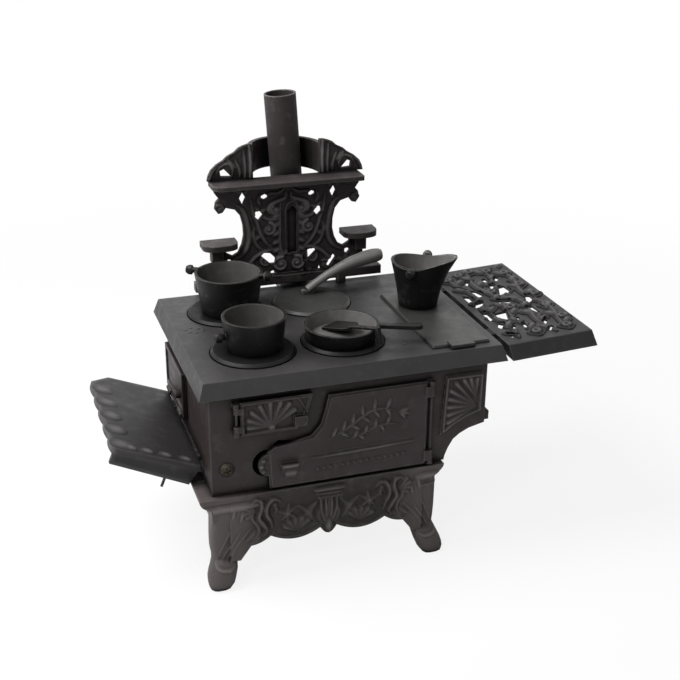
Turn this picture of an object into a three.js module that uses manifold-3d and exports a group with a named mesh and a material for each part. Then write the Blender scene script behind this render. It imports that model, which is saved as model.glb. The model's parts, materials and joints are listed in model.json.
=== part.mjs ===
// A cast iron toy kitchen range with its pots and tools, in millimetres with +Z up.
// The front of the range faces -Y and the hearth is at -X.
// The castings are modelled round the middle of the hob, with the floor at z = 0.

import * as THREE from 'three';
import { mergeVertices } from 'three/addons/utils/BufferGeometryUtils.js';
import Module from 'manifold-3d';

const wasm = await Module();
wasm.setup();

// Fits that all castings share
const gap = 0.3;
const overrun = 2;
const casting = 3;
const roundSteps = 32;
const smallSteps = 12;
const nutSides = 6;

// The four main heights and spans
const baseHeight = 69;
const hob = { length: 200, depth: 150, top: 147, rise: 10.3, bevel: 3.3, plate: 4.5, rim: 2.6 };
const hobLeft = -hob.length / 2;
const hobRight = hob.length / 2;
const hobFront = -hob.depth / 2;
const hobBack = hob.depth / 2;
const hobUnderside = hob.top - hob.plate;
const hobEdge = hob.top - hob.rise;

// The body stands in from the hob's edge by these amounts
const inset = { left: 6.5, right: 12, front: 5, back: 13 };
const bodyLeft = hobLeft + inset.left;
const bodyRight = hobRight - inset.right;
const bodyFront = hobFront + inset.front;
const bodyBack = hobBack - inset.back;
const bodyBottom = baseHeight + gap;
const bodyTop = hobUnderside - gap;

// The right side sweeps out from its foot in a curve, up to a lip under the reservoir
const reservoir = { footRight: 60.4, wall: 3, lipHeight: 92.6, lipProud: 4.5, lipFace: 6, lipTop: 9.6 };

const base = { railHeight: 18, railDepth: 8.5, railProud: 4.5, leftProud: 9, rightInset: 1.4, nose: 8 };
base.noseProud = 2.2;
const baseLeft = bodyLeft - base.leftProud;
const baseRight = reservoir.footRight - base.rightInset;
const baseFront = bodyFront - base.railProud;
const baseBack = bodyBack + base.railProud;
const railBottom = baseHeight - base.railHeight;

const leg = { width: 25, foot: 4, cornerHalf: 79.7, aside: 2.5, rearInset: 30, roundness: 3, steps: 14 };
const legMiddle = (baseLeft + baseRight) / 2 + leg.aside;
const legLeft = legMiddle - leg.cornerHalf;
const legRight = legMiddle + leg.cornerHalf;
const skirt = { thickness: 3.5, setback: 1.5, pendantHalf: 5.5, lobeHalf: 38.3, endHalf: 51, webHalf: 58 };
skirt.deep = 20;
skirt.shallow = 15;
skirt.webDeep = 29.5;

const ovenDoor = { left: -58.5, right: 46.5, bottom: 70, top: 129, thickness: 3, bevel: 1.2, lap: 4 };
const ovenKnob = { width: 11.7, narrow: 5.6, height: 9.5, proud: 2.4, fromLeft: 13.5, fromBottom: 12.5 };
const ovenCatch = { radius: 8.5, reach: 6.4, thickness: 2.4, height: 15, up: 17 };
ovenCatch.notchReach = 9.4;
ovenCatch.notchHeight = 19;
const draftDoor = { left: -75, right: -29.5, bottom: 109.5, top: 132, thickness: 2.6, lap: 3.5, frame: 2.2 };
const draftTab = { width: 8, height: 6.5, proud: 2, lift: 2.5 };
const hinge = { pin: 0.9, knuckle: 2.2, length: 7, standOff: 2.6, fit: 0.3, ear: 3 };

const fireDoor = { front: -2, rear: 54, bottom: 90, top: 122, thickness: 3, lap: 4, frame: 2.4 };
const fireKnob = { radius: 3, reach: 3.5 };

const apron = { length: 59.5, front: -53, rear: 62, tilt: 22, thickness: 3, height: 80.5 };
apron.outerSkirt = 9.5;
apron.innerSkirt = 13;
apron.skirtStart = 5;
apron.scallops = 5;
apron.scallop = 2.4;
apron.chamfer = 14;
apron.edgeRound = 2.2;
apron.peg = { radius: 0.9, reach: 19, fromBody: 20.5, fromFront: 3 };
apron.lug = { width: 10, height: 3, reach: 5, inset: 16 };

const burner = { pitchX: 59, pitchY: 68, middle: -27, recess: 27.5, recessDepth: 0.8, hole: 23 };
const lid = { radius: 26.8, thickness: 2.8, plug: 22.4, plugDepth: 2.2, slotLength: 9, slotWidth: 4,
  edgeWidth: 1.6 };
lid.slotBack = 12;
lid.slotAside = -1.1;
const reservoirLid = { left: 51.5, right: 91, front: -65.3, rear: 30.5, thickness: 1.6, lap: 3,
  plugDepth: 2.2 };
reservoirLid.tabWidth = 16;
reservoirLid.tabDepth = 8;
reservoirLid.tabReach = 4;
reservoirLid.tabRise = 0.8;
reservoirLid.tabInset = 20;
const flue = { radius: 13.5, spigot: 8.2, spigotHeight: 5, x: 4.9, y: 84 };

const pipe = { radius: 11, wall: 1.4, length: 134, leanDegrees: 3.9 };

const splash = { middle: -3.2, front: 69.5, thickness: 2.5, bottom: 151, halfWidth: 56, height: 73.2 };
const splashLedge = { halfLength: 68, depth: 7, height: 6.3 };
const splashPost = { offset: 38, width: 6, depth: 5 };
const splashSlot = { width: 7.2, bottom: 171.6, top: 206.6, offset: 2.7 };
const bracket = { inner: 38.2, outer: 62.8, depth: 17, top: 186.3, thickness: 4.2, stem: 8, stemDepth: 8 };
bracket.stemDrop = 11;
const shelf = { thickness: 3.2, depth: 18.5, halfLength: 53, middle: -5.5, bottom: 224.5, endRadius: 8 };
const crest = { middle: -4.2, halfWidth: 55.5, height: 23.7, bayHalf: 26.5, bayDepth: 30, bayHeight: 21 };

const sideShelf = { length: 59.4, depth: 134.1, front: -71.2, fall: 1, tilt: 2.94, plate: 1.8, rim: 3 };
sideShelf.distance = 1.5;
sideShelf.rise = 10.5;
sideShelf.bevel = 3;
sideShelf.undercut = 2;
sideShelf.lugWidth = 9;
sideShelf.lugHeight = 3.4;
sideShelf.lugReach = 4.6;
sideShelf.lugInset = 26;
sideShelf.widen = 0.9;
sideShelf.deepen = 2.6;

const tieBolt = { x: -83.7, z: 86.5, radius: 2, head: 4.9, headHeight: 2.6, nutRadius: 4.6, nutHeight: 3.2 };
const rearBolt = { radius: 1.6, head: 3.4, headHeight: 2, length: 10, inset: 6 };
const footScrew = { radius: 1.3, head: 2.9, headHeight: 1.8 };
const boss = { radius: 4, length: 9 };

// The bolts' places up the straight wall and along the curve, in shares of their run and rise
const highBoltUpShare = 0.63;
const lowBoltUpShare = 0.42;
const lowBoltOutShare = 0.12;
const lowBoltWall = reservoir.footRight + (bodyRight - reservoir.footRight) * lowBoltOutShare;
const rearBoltPlaces = [
  [bodyRight - rearBolt.inset, reservoir.lipHeight + (bodyTop - reservoir.lipHeight) * highBoltUpShare],
  [lowBoltWall - reservoir.wall - boss.radius / 2,
    bodyBottom + (reservoir.lipHeight - bodyBottom) * lowBoltUpShare],
];

const rearPot = { x: -55.6, y: 31.5, base: 18.6, rim: 22.7, height: 26.9, wall: 1.8, earTurns: [-31, 149],
  earDrop: 0.6 };
const frontPot = { x: -55.3, y: -33, base: 17.8, rim: 20.2, height: 21, wall: 1.8, earTurns: [187],
  earDrop: 11 };
const ear = { neck: 2, flange: 3.3, tipRadius: 2.3, length: 8.5 };
const skillet = { x: 1, y: -35.5, base: 21.5, rim: 24.2, height: 9.8, wall: 1.8, handleTurn: -18.4 };
skillet.handleLength = 27.5;
skillet.handleWidth = 7;
skillet.handleThickness = 3;
const turner = { bladeLength: 22, bladeWidth: 15, thickness: 1.6, stemWidth: 3.6, hook: 9, turn: -60 };
turner.startX = -2;
turner.startY = -20.6;
const scuttle = { x: 70, y: 6, base: 13.2, bowl: 17, height: 29, wall: 1.8, spout: 26.5, turn: -38,
  earDrop: 1 };
scuttle.earTurns = [90, 270];
const lifter = { rise: 20.5, reach: 54, slim: 2.8, stout: 5, blade: 1.7 };

const iron = { color: 0x2e2b2b, roughness: 0.62, metalness: 0.75 };
const blackIron = { color: 0x1f1e1e, roughness: 0.6, metalness: 0.75 };
const plainSteel = { color: 0x8a8676, roughness: 0.42, metalness: 0.9 };

// Along a leg, in shares of the base's height and the leg's width: height, how far its middle
// stands in from the corner along X and along Y, and half its thickness
const legStationShares = [
  [0, 0.324, 0.128, 0.236], [0.018, 0.324, 0.12, 0.28], [0.062, 0.352, 0.14, 0.332],
    [0.108, 0.38, 0.18, 0.35],
  [0.162, 0.42, 0.22, 0.35], [0.2, 0.456, 0.252, 0.344], [0.254, 0.496, 0.34, 0.324],
    [0.292, 0.512, 0.48, 0.312],
  [0.369, 0.528, 0.52, 0.36], [0.492, 0.54, 0.5, 0.375], [0.708, 0.556, 0.46, 0.38],
    [0.985, 0.556, 0.46, 0.38],
];
// Up a rail: how far its sides have drawn in, and how high, in shares of its nose and its height
const railProfileShares = [[1, 0], [1, 0.53], [0.7, 0.6], [0.25, 0.74], [0.06, 0.88], [0, 1]];
const skirtTopShare = 0.62;
const bladeRoundShare = 0.3;
// Along a pot's ear, where its neck ends and where its flange does
const neckShare = 0.45;
const flangeShare = 0.8;
// How far the foot of the draft door stops short of its upper corner, in shares of its tab
const draftFootShare = 1.3;
// Where the tie bolt's head turns over, in shares of its radius and its height
const headRoundShares = [0.8, 0.7];
// How far in from its ends the firebox door's knuckles are
const knuckleInsetShare = 1 / 7;
// The heights of the scuttle's rings
const scuttleRingShares = [0, 0.35, 0.7, 1];
// Where the lifter's handle bends, in shares of its reach and its rise
const lifterBendShares = [0.45, 0.9];
// How far the scuttle's spout rises above its sides, and how far its back reaches out, in shares
const scuttleLipShare = 0.24;
const scuttleBackShare = 0.25;
// Oven door outline in shares of its width and height, from the lower left corner round
const ovenDoorShares = [
  [0.01, 0], [1, 0], [1, 1], [0.375, 1], [0.345, 0.78], [0.325, 0.67], [0.27, 0.56], [0.03, 0.47], [0, 0.43],
];
// The raised panel right of the oven door, in shares of its width and height
const sunburstShares = [[0, 0], [0.12, 0.07], [0.36, 0.18], [0.67, 0.29], [0.89, 0.33], [1, 0.36], [1, 1],
  [0.09, 1]];
// The inside of the reservoir curve in shares of its run and fall
const reservoirCurveShares = [
  [0, 0], [0.02, 0.13], [0.1, 0.37], [0.22, 0.61], [0.38, 0.76], [0.61, 0.89], [0.91, 0.975], [1, 1],
];
// Half of the splash plate's outline in shares of its half width and height, from the foot up
const splashEdgeShares = [
  [0.98, 0], [1, 0.097], [0.99, 0.232], [0.95, 0.348], [0.94, 0.406], [0.82, 0.406], [0.8, 0.343],
    [0.72, 0.309],
  [0.65, 0.338], [0.6, 0.415], [0.575, 0.502], [0.58, 0.599], [0.61, 0.695], [0.68, 0.763], [0.79, 0.787],
    [0.83, 0.744],
  [0.885, 0.734], [0.93, 0.782], [0.915, 0.845], [0.875, 0.879], [0.92, 0.927], [0.96, 1],
];
// Openings in the right half of the splash plate: outline points in the same shares
const splashOpeningShares = [
  [[0.58, 0.802], [0.62, 0.869], [0.585, 0.927], [0.54, 0.869]],
  [[0.26, 0.85], [0.3, 0.835], [0.345, 0.85], [0.345, 0.874], [0.3, 0.889], [0.26, 0.874]],
  [[0.38, 0.637], [0.43, 0.676], [0.42, 0.724], [0.375, 0.734], [0.325, 0.686]],
  [[0.18, 0.193], [0.24, 0.193], [0.36, 0.28], [0.33, 0.314], [0.24, 0.299], [0.17, 0.241]],
  [[0.16, 0.048], [0.28, 0.048], [0.26, 0.106], [0.2, 0.126]],
  [[0.49, 0.116], [0.54, 0.106], [0.62, 0.193], [0.59, 0.232], [0.52, 0.174]],
  [[0.74, 0.232], [0.78, 0.222], [0.81, 0.251], [0.78, 0.28], [0.74, 0.27]],
  [[0.37, 0.058], [0.44, 0.058], [0.4, 0.135]],
];
// Half of the crest's outline in shares of its half width and height, from the outer foot up
const crestEdgeShares = [
  [1, 0], [0.985, 0.15], [0.95, 0.31], [0.88, 0.46], [0.79, 0.58], [0.745, 0.68], [0.65, 0.79], [0.6, 0.9],
  [0.54, 0.96], [0.478, 1],
];
const crestOpeningShares = [[0.7, 0.1], [0.83, 0.12], [0.84, 0.28], [0.79, 0.33]];
// Openings in the side shelf in shares of its length and depth
const sideShelfOpeningShares = [
  [[0.1, 0.75], [0.2, 0.71], [0.19, 0.69], [0.09, 0.735]],
  [[0.23, 0.69], [0.3, 0.665], [0.34, 0.61], [0.24, 0.59]],
  [[0.09, 0.63], [0.15, 0.605], [0.15, 0.565], [0.09, 0.55]],
  [[0.26, 0.52], [0.16, 0.465], [0.09, 0.474], [0.16, 0.51]],
  [[0.09, 0.39], [0.14, 0.375], [0.14, 0.31], [0.09, 0.29]],
  [[0.21, 0.35], [0.36, 0.36], [0.28, 0.27], [0.215, 0.31]],
  [[0.09, 0.21], [0.14, 0.24], [0.19, 0.213], [0.11, 0.184]],
  [[0.21, 0.155], [0.268, 0.186], [0.287, 0.169], [0.235, 0.15]],
  [[0.1, 0.1], [0.2, 0.085], [0.12, 0.07]],
  [[0.42, 0.275], [0.42, 0.25], [0.37, 0.235], [0.37, 0.26]],
  [[0.367, 0.177], [0.41, 0.19], [0.41, 0.165], [0.366, 0.15]],
  [[0.616, 0.67], [0.676, 0.674], [0.684, 0.616], [0.616, 0.581], [0.52, 0.58]],
  [[0.41, 0.5], [0.543, 0.48], [0.535, 0.46], [0.4, 0.475]],
  [[0.77, 0.51], [0.82, 0.5], [0.81, 0.455], [0.72, 0.428], [0.67, 0.435], [0.73, 0.464]],
  [[0.6, 0.353], [0.704, 0.369], [0.716, 0.27]],
  [[0.6, 0.171], [0.66, 0.194], [0.68, 0.174], [0.61, 0.148]],
  [[0.57, 0.085], [0.644, 0.115], [0.67, 0.1], [0.58, 0.07]],
  [[0.65, 0.778], [0.71, 0.81], [0.74, 0.795], [0.68, 0.765]],
  [[0.53, 0.716], [0.575, 0.715], [0.56, 0.69], [0.51, 0.675]],
  [[0.52, 0.8], [0.57, 0.81], [0.575, 0.785], [0.52, 0.77]],
  [[0.27, 0.78], [0.32, 0.81], [0.345, 0.795], [0.29, 0.765]],
];

const degrees = THREE.MathUtils.degToRad;

// Merge the corners that triangles share and drop triangles that have no area
function weld(geometry) {
  const bare = new THREE.BufferGeometry();
  bare.setAttribute('position', geometry.getAttribute('position').clone());
  if (geometry.index) bare.setIndex(geometry.index.clone());
  const merged = mergeVertices(bare, 1e-4);
  const index = merged.index.array;
  const kept = [];
  for (let i = 0; i < index.length; i += 3) {
    const [a, b, c] = [index[i], index[i + 1], index[i + 2]];
    if (a !== b && b !== c && c !== a) kept.push(a, b, c);
  }
  merged.setIndex(kept);
  return facesOut(merged);
}

// Turn the faces round where a closed surface encloses a negative volume
function facesOut(geometry) {
  const position = geometry.getAttribute('position');
  const index = geometry.index.array;
  const [a, b, c] = [new THREE.Vector3(), new THREE.Vector3(), new THREE.Vector3()];
  let volume = 0;
  for (let i = 0; i < index.length; i += 3) {
    a.fromBufferAttribute(position, index[i]);
    b.fromBufferAttribute(position, index[i + 1]);
    c.fromBufferAttribute(position, index[i + 2]);
    volume += a.dot(b.cross(c));
  }
  if (volume < 0) index.reverse();
  return geometry;
}

function toSolid(geometry) {
  const welded = weld(geometry);
  return new wasm.Manifold(new wasm.Mesh({
    numProp: 3,
    vertProperties: new Float32Array(welded.getAttribute('position').array),
    triVerts: new Uint32Array(welded.index.array),
  }));
}

function toGeometry(solid) {
  const mesh = solid.getMesh();
  const geometry = new THREE.BufferGeometry();
  geometry.setAttribute('position', new THREE.BufferAttribute(new Float32Array(mesh.vertProperties), 3));
  geometry.setIndex(new THREE.BufferAttribute(new Uint32Array(mesh.triVerts), 1));
  geometry.computeVertexNormals();
  return geometry;
}

function join(...geometries) {
  return toGeometry(geometries.map(toSolid).reduce((whole, part) => whole.add(part)));
}

function cut(target, ...tools) {
  return toGeometry(tools.map(toSolid).reduce((rest, tool) => rest.subtract(tool), toSolid(target)));
}

function common(first, second) {
  return toGeometry(toSolid(first).intersect(toSolid(second)));
}

function box(x0, x1, y0, y1, z0, z1) {
  const geometry = new THREE.BoxGeometry(x1 - x0, y1 - y0, z1 - z0);
  return geometry.translate((x0 + x1) / 2, (y0 + y1) / 2, (z0 + z1) / 2);
}

function outline(points) {
  return new THREE.Shape(points.map(([u, v]) => new THREE.Vector2(u, v)));
}

function extrude(shape, depth, curveSegments = smallSteps) {
  return new THREE.ExtrudeGeometry(shape, { depth, bevelEnabled: false, curveSegments });
}

// A shape drawn in X and Z, standing from y0 back to y0 + depth
function upright(shape, y0, depth) {
  return extrude(shape, depth).rotateX(Math.PI / 2).translate(0, y0 + depth, 0);
}

// A shape drawn in Y and Z, running from x0 to x0 + depth
function sideways(shape, x0, depth) {
  const turn = new THREE.Matrix4().makeBasis(
    new THREE.Vector3(0, 1, 0), new THREE.Vector3(0, 0, 1), new THREE.Vector3(1, 0, 0));
  return extrude(shape, depth).applyMatrix4(turn).translate(x0, 0, 0);
}

// A shape drawn in X and Y, rising from z0
function flat(shape, z0, height) {
  return extrude(shape, height).translate(0, 0, z0);
}

// A body of revolution about Z from [radius, height] points
function revolve(points, steps = roundSteps) {
  const profile = points.map(([radius, height]) => new THREE.Vector2(radius, height));
  return new THREE.LatheGeometry(profile, steps).rotateX(Math.PI / 2);
}

function cylinder(radius, z0, z1, steps = roundSteps) {
  return revolve([[0, z0], [radius, z0], [radius, z1], [0, z1]], steps);
}

// A cylinder along Y, from y0 to y1
function rodAlongY(radius, x, y0, y1, z, steps = smallSteps) {
  return cylinder(radius, 0, y1 - y0, steps).rotateX(-Math.PI / 2).translate(x, y0, z);
}

// A closed skin over rings of points that all have the same count, with flat ends
function loft(rings) {
  const count = rings[0].length;
  const positions = rings.flat().flatMap((point) => [point.x, point.y, point.z]);
  const index = [];
  for (let r = 0; r < rings.length - 1; r += 1) {
    for (let i = 0; i < count; i += 1) {
      const a = r * count + i;
      const b = r * count + (i + 1) % count;
      index.push(a, b, a + count, b, b + count, a + count);
    }
  }
  const last = (rings.length - 1) * count;
  for (let i = 1; i < count - 1; i += 1) {
    index.push(0, i + 1, i);
    index.push(last, last + i, last + i + 1);
  }
  const geometry = new THREE.BufferGeometry();
  geometry.setAttribute('position', new THREE.Float32BufferAttribute(positions, 3));
  geometry.setIndex(index);
  return facesOut(geometry);
}

// A rounded square or ellipse in a level plane
function levelRing(x, y, z, halfX, halfY, steps, power = 2) {
  return Array.from({ length: steps }, (unused, i) => {
    const angle = 2 * Math.PI * i / steps;
    const side = (value) => Math.sign(value) * Math.abs(value) ** (2 / power);
    return new THREE.Vector3(x + halfX * side(Math.cos(angle)), y + halfY * side(Math.sin(angle)), z);
  });
}

// A slab whose four sides slope out from a smaller top to a larger foot
function slopedSlab(top, foot) {
  const corners = (r) => [
    new THREE.Vector3(r.x0, r.y0, r.z), new THREE.Vector3(r.x1, r.y0, r.z),
    new THREE.Vector3(r.x1, r.y1, r.z), new THREE.Vector3(r.x0, r.y1, r.z),
  ];
  return loft([corners(foot), corners(top)]);
}

function piece(name, geometry, finish) {
  const mesh = new THREE.Mesh(geometry, new THREE.MeshStandardMaterial({ name, ...finish }));
  mesh.name = name;
  return mesh;
}

// Base

// A bar of the base's rail; the nose says how far each of its sides overhangs
function railBar(x0, x1, y0, y1, nose) {
  return loft(railProfileShares.map(([drawn, up]) => {
    const z = railBottom + base.railHeight * up;
    const [left, right] = [x0 + nose.left * drawn, x1 - nose.right * drawn];
    const [front, back] = [y0 + nose.front * drawn, y1 - nose.back * drawn];
    return [
      new THREE.Vector3(left, front, z), new THREE.Vector3(right, front, z),
      new THREE.Vector3(right, back, z), new THREE.Vector3(left, back, z),
    ];
  }));
}

// A cabriole leg under a corner of the base; sx and sy point outward from the base
function cabrioleLeg(cornerX, cornerY, sx, sy) {
  const rise = baseHeight - leg.foot;
  return loft(legStationShares.map(([up, acrossX, acrossY, halfShare]) => {
    const half = leg.width * halfShare;
    const x = cornerX - sx * leg.width * acrossX;
    const y = cornerY - sy * leg.width * acrossY;
    return levelRing(x, y, leg.foot + rise * up, half, half, leg.steps, leg.roundness);
  }));
}

// Half of the skirt's lower edge is drawn, then the other half as its mirror image
function skirtOutline() {
  const shape = new THREE.Shape();
  const k = skirt;
  const top = railBottom + base.railHeight * skirtTopShare;
  const lobeMiddle = (k.pendantHalf + k.lobeHalf) / 2;
  const endMiddle = (k.lobeHalf + k.endHalf) / 2;
  const lowest = railBottom - k.deep;
  const notch = railBottom - k.shallow;
  const web = railBottom - k.webDeep;
  const dip = 2 * lowest - notch;
  const x = (sign, half) => legMiddle + sign * half;
  shape.moveTo(x(-1, k.webHalf + leg.width / 4), top);
  shape.lineTo(x(-1, k.webHalf + leg.width / 4), web);
  shape.lineTo(x(-1, k.webHalf), web);
  shape.quadraticCurveTo(x(-1, k.endHalf + gap), lowest - gap, x(-1, k.endHalf), lowest);
  shape.quadraticCurveTo(x(-1, endMiddle), lowest, x(-1, k.lobeHalf), notch);
  shape.quadraticCurveTo(x(-1, lobeMiddle), dip, x(-1, k.pendantHalf), notch);
  shape.quadraticCurveTo(x(-1, k.pendantHalf / 2), lowest, legMiddle, lowest);
  shape.quadraticCurveTo(x(1, k.pendantHalf / 2), lowest, x(1, k.pendantHalf), notch);
  shape.quadraticCurveTo(x(1, lobeMiddle), dip, x(1, k.lobeHalf), notch);
  shape.quadraticCurveTo(x(1, endMiddle), lowest, x(1, k.endHalf), lowest);
  shape.quadraticCurveTo(x(1, k.endHalf + gap), lowest - gap, x(1, k.webHalf), web);
  shape.lineTo(x(1, k.webHalf + leg.width / 4), web);
  shape.lineTo(x(1, k.webHalf + leg.width / 4), top);
  return shape;
}

const returnDepth = leg.width;
const sideWidth = base.nose + casting;

function frontBase() {
  const both = { left: base.nose, right: base.nose, front: base.noseProud, back: 0 };
  const rail = railBar(baseLeft, baseRight, baseFront, baseFront + base.railDepth, both);
  const left = railBar(baseLeft, baseLeft + sideWidth, baseFront, baseFront + returnDepth,
    { ...both, right: 0 });
  const right = railBar(baseRight - sideWidth, baseRight, baseFront, baseFront + returnDepth,
    { ...both, left: 0 });
  const plate = upright(skirtOutline(), baseFront + skirt.setback, skirt.thickness);
  const legs = [cabrioleLeg(legLeft, baseFront, -1, -1), cabrioleLeg(legRight, baseFront, 1, -1)];
  return join(rail, left, right, plate, ...legs);
}

function rearBase() {
  const both = { left: base.nose, right: base.nose, front: 0, back: base.noseProud };
  const rail = railBar(baseLeft, baseRight, baseBack - base.railDepth, baseBack, both);
  const left = cabrioleLeg(legLeft + leg.rearInset, baseBack, -1, 1);
  const right = cabrioleLeg(legRight - leg.rearInset, baseBack, 1, 1);
  return join(rail, left, right);
}

function sideRail(x0, nose) {
  const from = baseFront + returnDepth + gap;
  const to = baseBack - base.railDepth - gap;
  return railBar(x0, x0 + sideWidth, from, to, { left: 0, right: 0, front: 0, back: 0, ...nose });
}

function bottomPlate() {
  const left = bodyLeft + casting + gap;
  const right = reservoir.footRight - reservoir.wall - gap;
  return box(left, right, bodyFront + casting + gap, bodyBack - casting - gap, bodyBottom,
    bodyBottom + casting);
}

// Body

// The curve under the reservoir, from its foot up to the lip, moved in by an amount
function reservoirCurve(moved) {
  const run = bodyRight - reservoir.footRight;
  const rise = reservoir.lipHeight - bodyBottom;
  return reservoirCurveShares.map(([out, up]) => [reservoir.footRight + run * out - moved,
    bodyBottom + rise * up]);
}

function bodyOutline(rightInset) {
  return outline([
    [bodyLeft, bodyTop], [bodyLeft, bodyBottom], ...reservoirCurve(rightInset),
      [bodyRight - rightInset, bodyTop],
  ]);
}

function doorOpening(door) {
  const [x0, x1] = [door.left + door.lap, door.right - door.lap];
  return box(x0, x1, bodyFront - overrun, bodyFront + casting + overrun, door.bottom + door.lap,
    door.top - door.lap);
}

function ovenDoorPoints(grow) {
  const width = ovenDoor.right - ovenDoor.left;
  const height = ovenDoor.top - ovenDoor.bottom;
  const middle = [ovenDoor.left + width / 2, ovenDoor.bottom + height / 2];
  return ovenDoorShares.map(([u, v]) => {
    const x = ovenDoor.left + width * u;
    const z = ovenDoor.bottom + height * v;
    return [x + grow * Math.sign(x - middle[0]), z + grow * Math.sign(z - middle[1])];
  });
}

const pinY = bodyFront - hinge.standOff;
const ovenPinX = ovenDoor.right + hinge.knuckle + gap;
const draftPinX = draftDoor.left - hinge.knuckle - gap;
const firePinX = bodyLeft - hinge.standOff;

// An ear that stands off a panel and holds the end of an upright pin
function pinEar(x, z0, z1) {
  const block = box(x - hinge.knuckle, x + hinge.knuckle, pinY, bodyFront, z0, z1);
  return join(block, cylinder(hinge.knuckle, z0, z1, smallSteps).translate(x, pinY, 0));
}

function pinHole(x, z0, z1) {
  return cylinder(hinge.pin + hinge.fit, z0, z1, smallSteps).translate(x, pinY, 0);
}

// The round notch in the front panel behind the oven door's catch
function catchNotch() {
  const c = ovenCatch;
  return cylinder(c.radius, -overrun, casting + overrun, smallSteps * 2)
    .scale(c.notchReach / c.radius, c.notchHeight / (2 * c.radius), 1)
    .rotateX(Math.PI / 2).translate(ovenDoor.left + gap, bodyFront + casting, ovenDoor.bottom + c.up);
}

function frontPanel() {
  const plate = upright(bodyOutline(0), bodyFront, casting);
  const oven = upright(outline(ovenDoorPoints(-ovenDoor.lap)), bodyFront - overrun, casting + 2 * overrun);
  const ears = [
    pinEar(ovenPinX, ovenDoor.bottom + gap, ovenDoor.bottom + hinge.ear),
    pinEar(ovenPinX, ovenDoor.top - hinge.ear, ovenDoor.top - gap),
    pinEar(draftPinX, draftDoor.bottom + gap, draftDoor.bottom + hinge.ear),
    pinEar(draftPinX, draftDoor.top - hinge.ear, draftDoor.top - gap),
  ];
  const holes = [
    pinHole(ovenPinX, ovenDoor.bottom - overrun, ovenDoor.top + overrun),
    pinHole(draftPinX, draftDoor.bottom - overrun, draftDoor.top + overrun),
    rodAlongY(tieBolt.radius + gap, tieBolt.x, bodyFront - overrun, bodyFront + casting + overrun, tieBolt.z),
  ];
  return cut(join(plate, sunburstPanel(), ...ears), oven, doorOpening(draftDoor), catchNotch(), ...holes);
}

// The fixed panel right of the oven door: a raised frame with a curved foot
function sunburstPanel() {
  const left = ovenPinX + 2 * hinge.knuckle + casting;
  const right = bodyRight - casting;
  const top = draftDoor.top - hinge.knuckle;
  const foot = reservoir.lipHeight - casting * 3 / 2;
  const frame = outline(sunburstShares.map(([u, v]) => [left + (right - left) * u, foot + (top - foot) * v]));
  return upright(frame, bodyFront - draftDoor.thickness / 2, draftDoor.thickness);
}

function leftPanel() {
  const plate = box(bodyLeft, bodyLeft + casting, bodyFront + casting + gap, bodyBack - casting - gap,
    bodyBottom, bodyTop);
  const opening = box(bodyLeft - overrun, bodyLeft + casting + overrun,
    fireDoor.front + fireDoor.lap, fireDoor.rear - fireDoor.lap, fireDoor.bottom + fireDoor.lap,
      fireDoor.top - fireDoor.lap);
  const firePin = rodAlongY(hinge.pin + hinge.fit, firePinX, fireDoor.front, fireDoor.rear, fireDoor.bottom);
  return cut(join(cut(plate, opening), ...firePinEars()), firePin, ...apronLugs(gap));
}

function rearPanel() {
  const plate = upright(bodyOutline(0), bodyBack - casting, casting);
  const through = (radius, x, z) => rodAlongY(radius + gap, x, bodyBack - casting - overrun,
    bodyBack + overrun, z);
  const holes = rearBoltPlaces.map(([x, z]) => through(rearBolt.radius, x, z));
  holes.push(through(tieBolt.radius, tieBolt.x, tieBolt.z));
  return cut(plate, ...holes);
}

function rightPanel() {
  const outer = reservoirCurve(0);
  const inner = reservoirCurve(reservoir.wall).reverse();
  const lip = reservoir.lipHeight;
  const profile = outline([
    ...outer, [bodyRight + reservoir.lipProud, lip],
      [bodyRight + reservoir.lipProud, lip + reservoir.lipFace],
    [bodyRight, lip + reservoir.lipTop], [bodyRight, bodyTop], [bodyRight - reservoir.wall, bodyTop],
      ...inner,
  ]);
  const from = bodyFront + casting + gap;
  const to = bodyBack - casting - gap;
  const bosses = rearBoltPlaces.map(([x, z]) => rodAlongY(boss.radius, x, to - boss.length, to, z));
  const holes = rearBoltPlaces.map(([x, z]) => rodAlongY(rearBolt.radius + gap, x,
    to - boss.length - overrun, to + overrun, z));
  return cut(join(upright(profile, from, to - from), ...bosses), ...holes);
}

// Doors

function ovenDoorPlate() {
  const back = pinY + hinge.knuckle - gap;
  const front = back - ovenDoor.thickness;
  const foot = upright(outline(ovenDoorPoints(0)), front + ovenDoor.bevel,
    ovenDoor.thickness - ovenDoor.bevel);
  const face = upright(outline(ovenDoorPoints(-ovenDoor.bevel)), front, ovenDoor.thickness - gap);
  const x = ovenDoor.left + ovenKnob.fromLeft;
  const z = ovenDoor.bottom + ovenKnob.fromBottom;
  const knob = outline([
    [x - ovenKnob.narrow / 2, z - ovenKnob.height / 2], [x + ovenKnob.narrow / 2, z - ovenKnob.height / 2],
    [x + ovenKnob.width / 2, z + ovenKnob.height / 2], [x - ovenKnob.width / 2, z + ovenKnob.height / 2],
  ]);
  const handle = upright(knob, front - ovenKnob.proud, ovenKnob.proud + ovenDoor.thickness / 2);
  const lobe = cylinder(ovenCatch.radius, 0, ovenCatch.thickness, smallSteps * 2)
    .scale(ovenCatch.reach / ovenCatch.radius, ovenCatch.height / (2 * ovenCatch.radius), 1)
    .rotateX(Math.PI / 2).translate(ovenDoor.left + gap, back, ovenDoor.bottom + ovenCatch.up);
  const plate = join(foot, face, handle, lobe);
  const knuckles = [ovenDoor.bottom + hinge.ear + gap, ovenDoor.top - hinge.ear - gap - hinge.length]
    .map((z0) => doorKnuckle(ovenPinX, ovenDoor.right - overrun, z0, z0 + hinge.length));
  const hole = pinHole(ovenPinX, ovenDoor.bottom - overrun, ovenDoor.top + overrun);
  return cut(join(plate, ...knuckles), hole);
}

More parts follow.
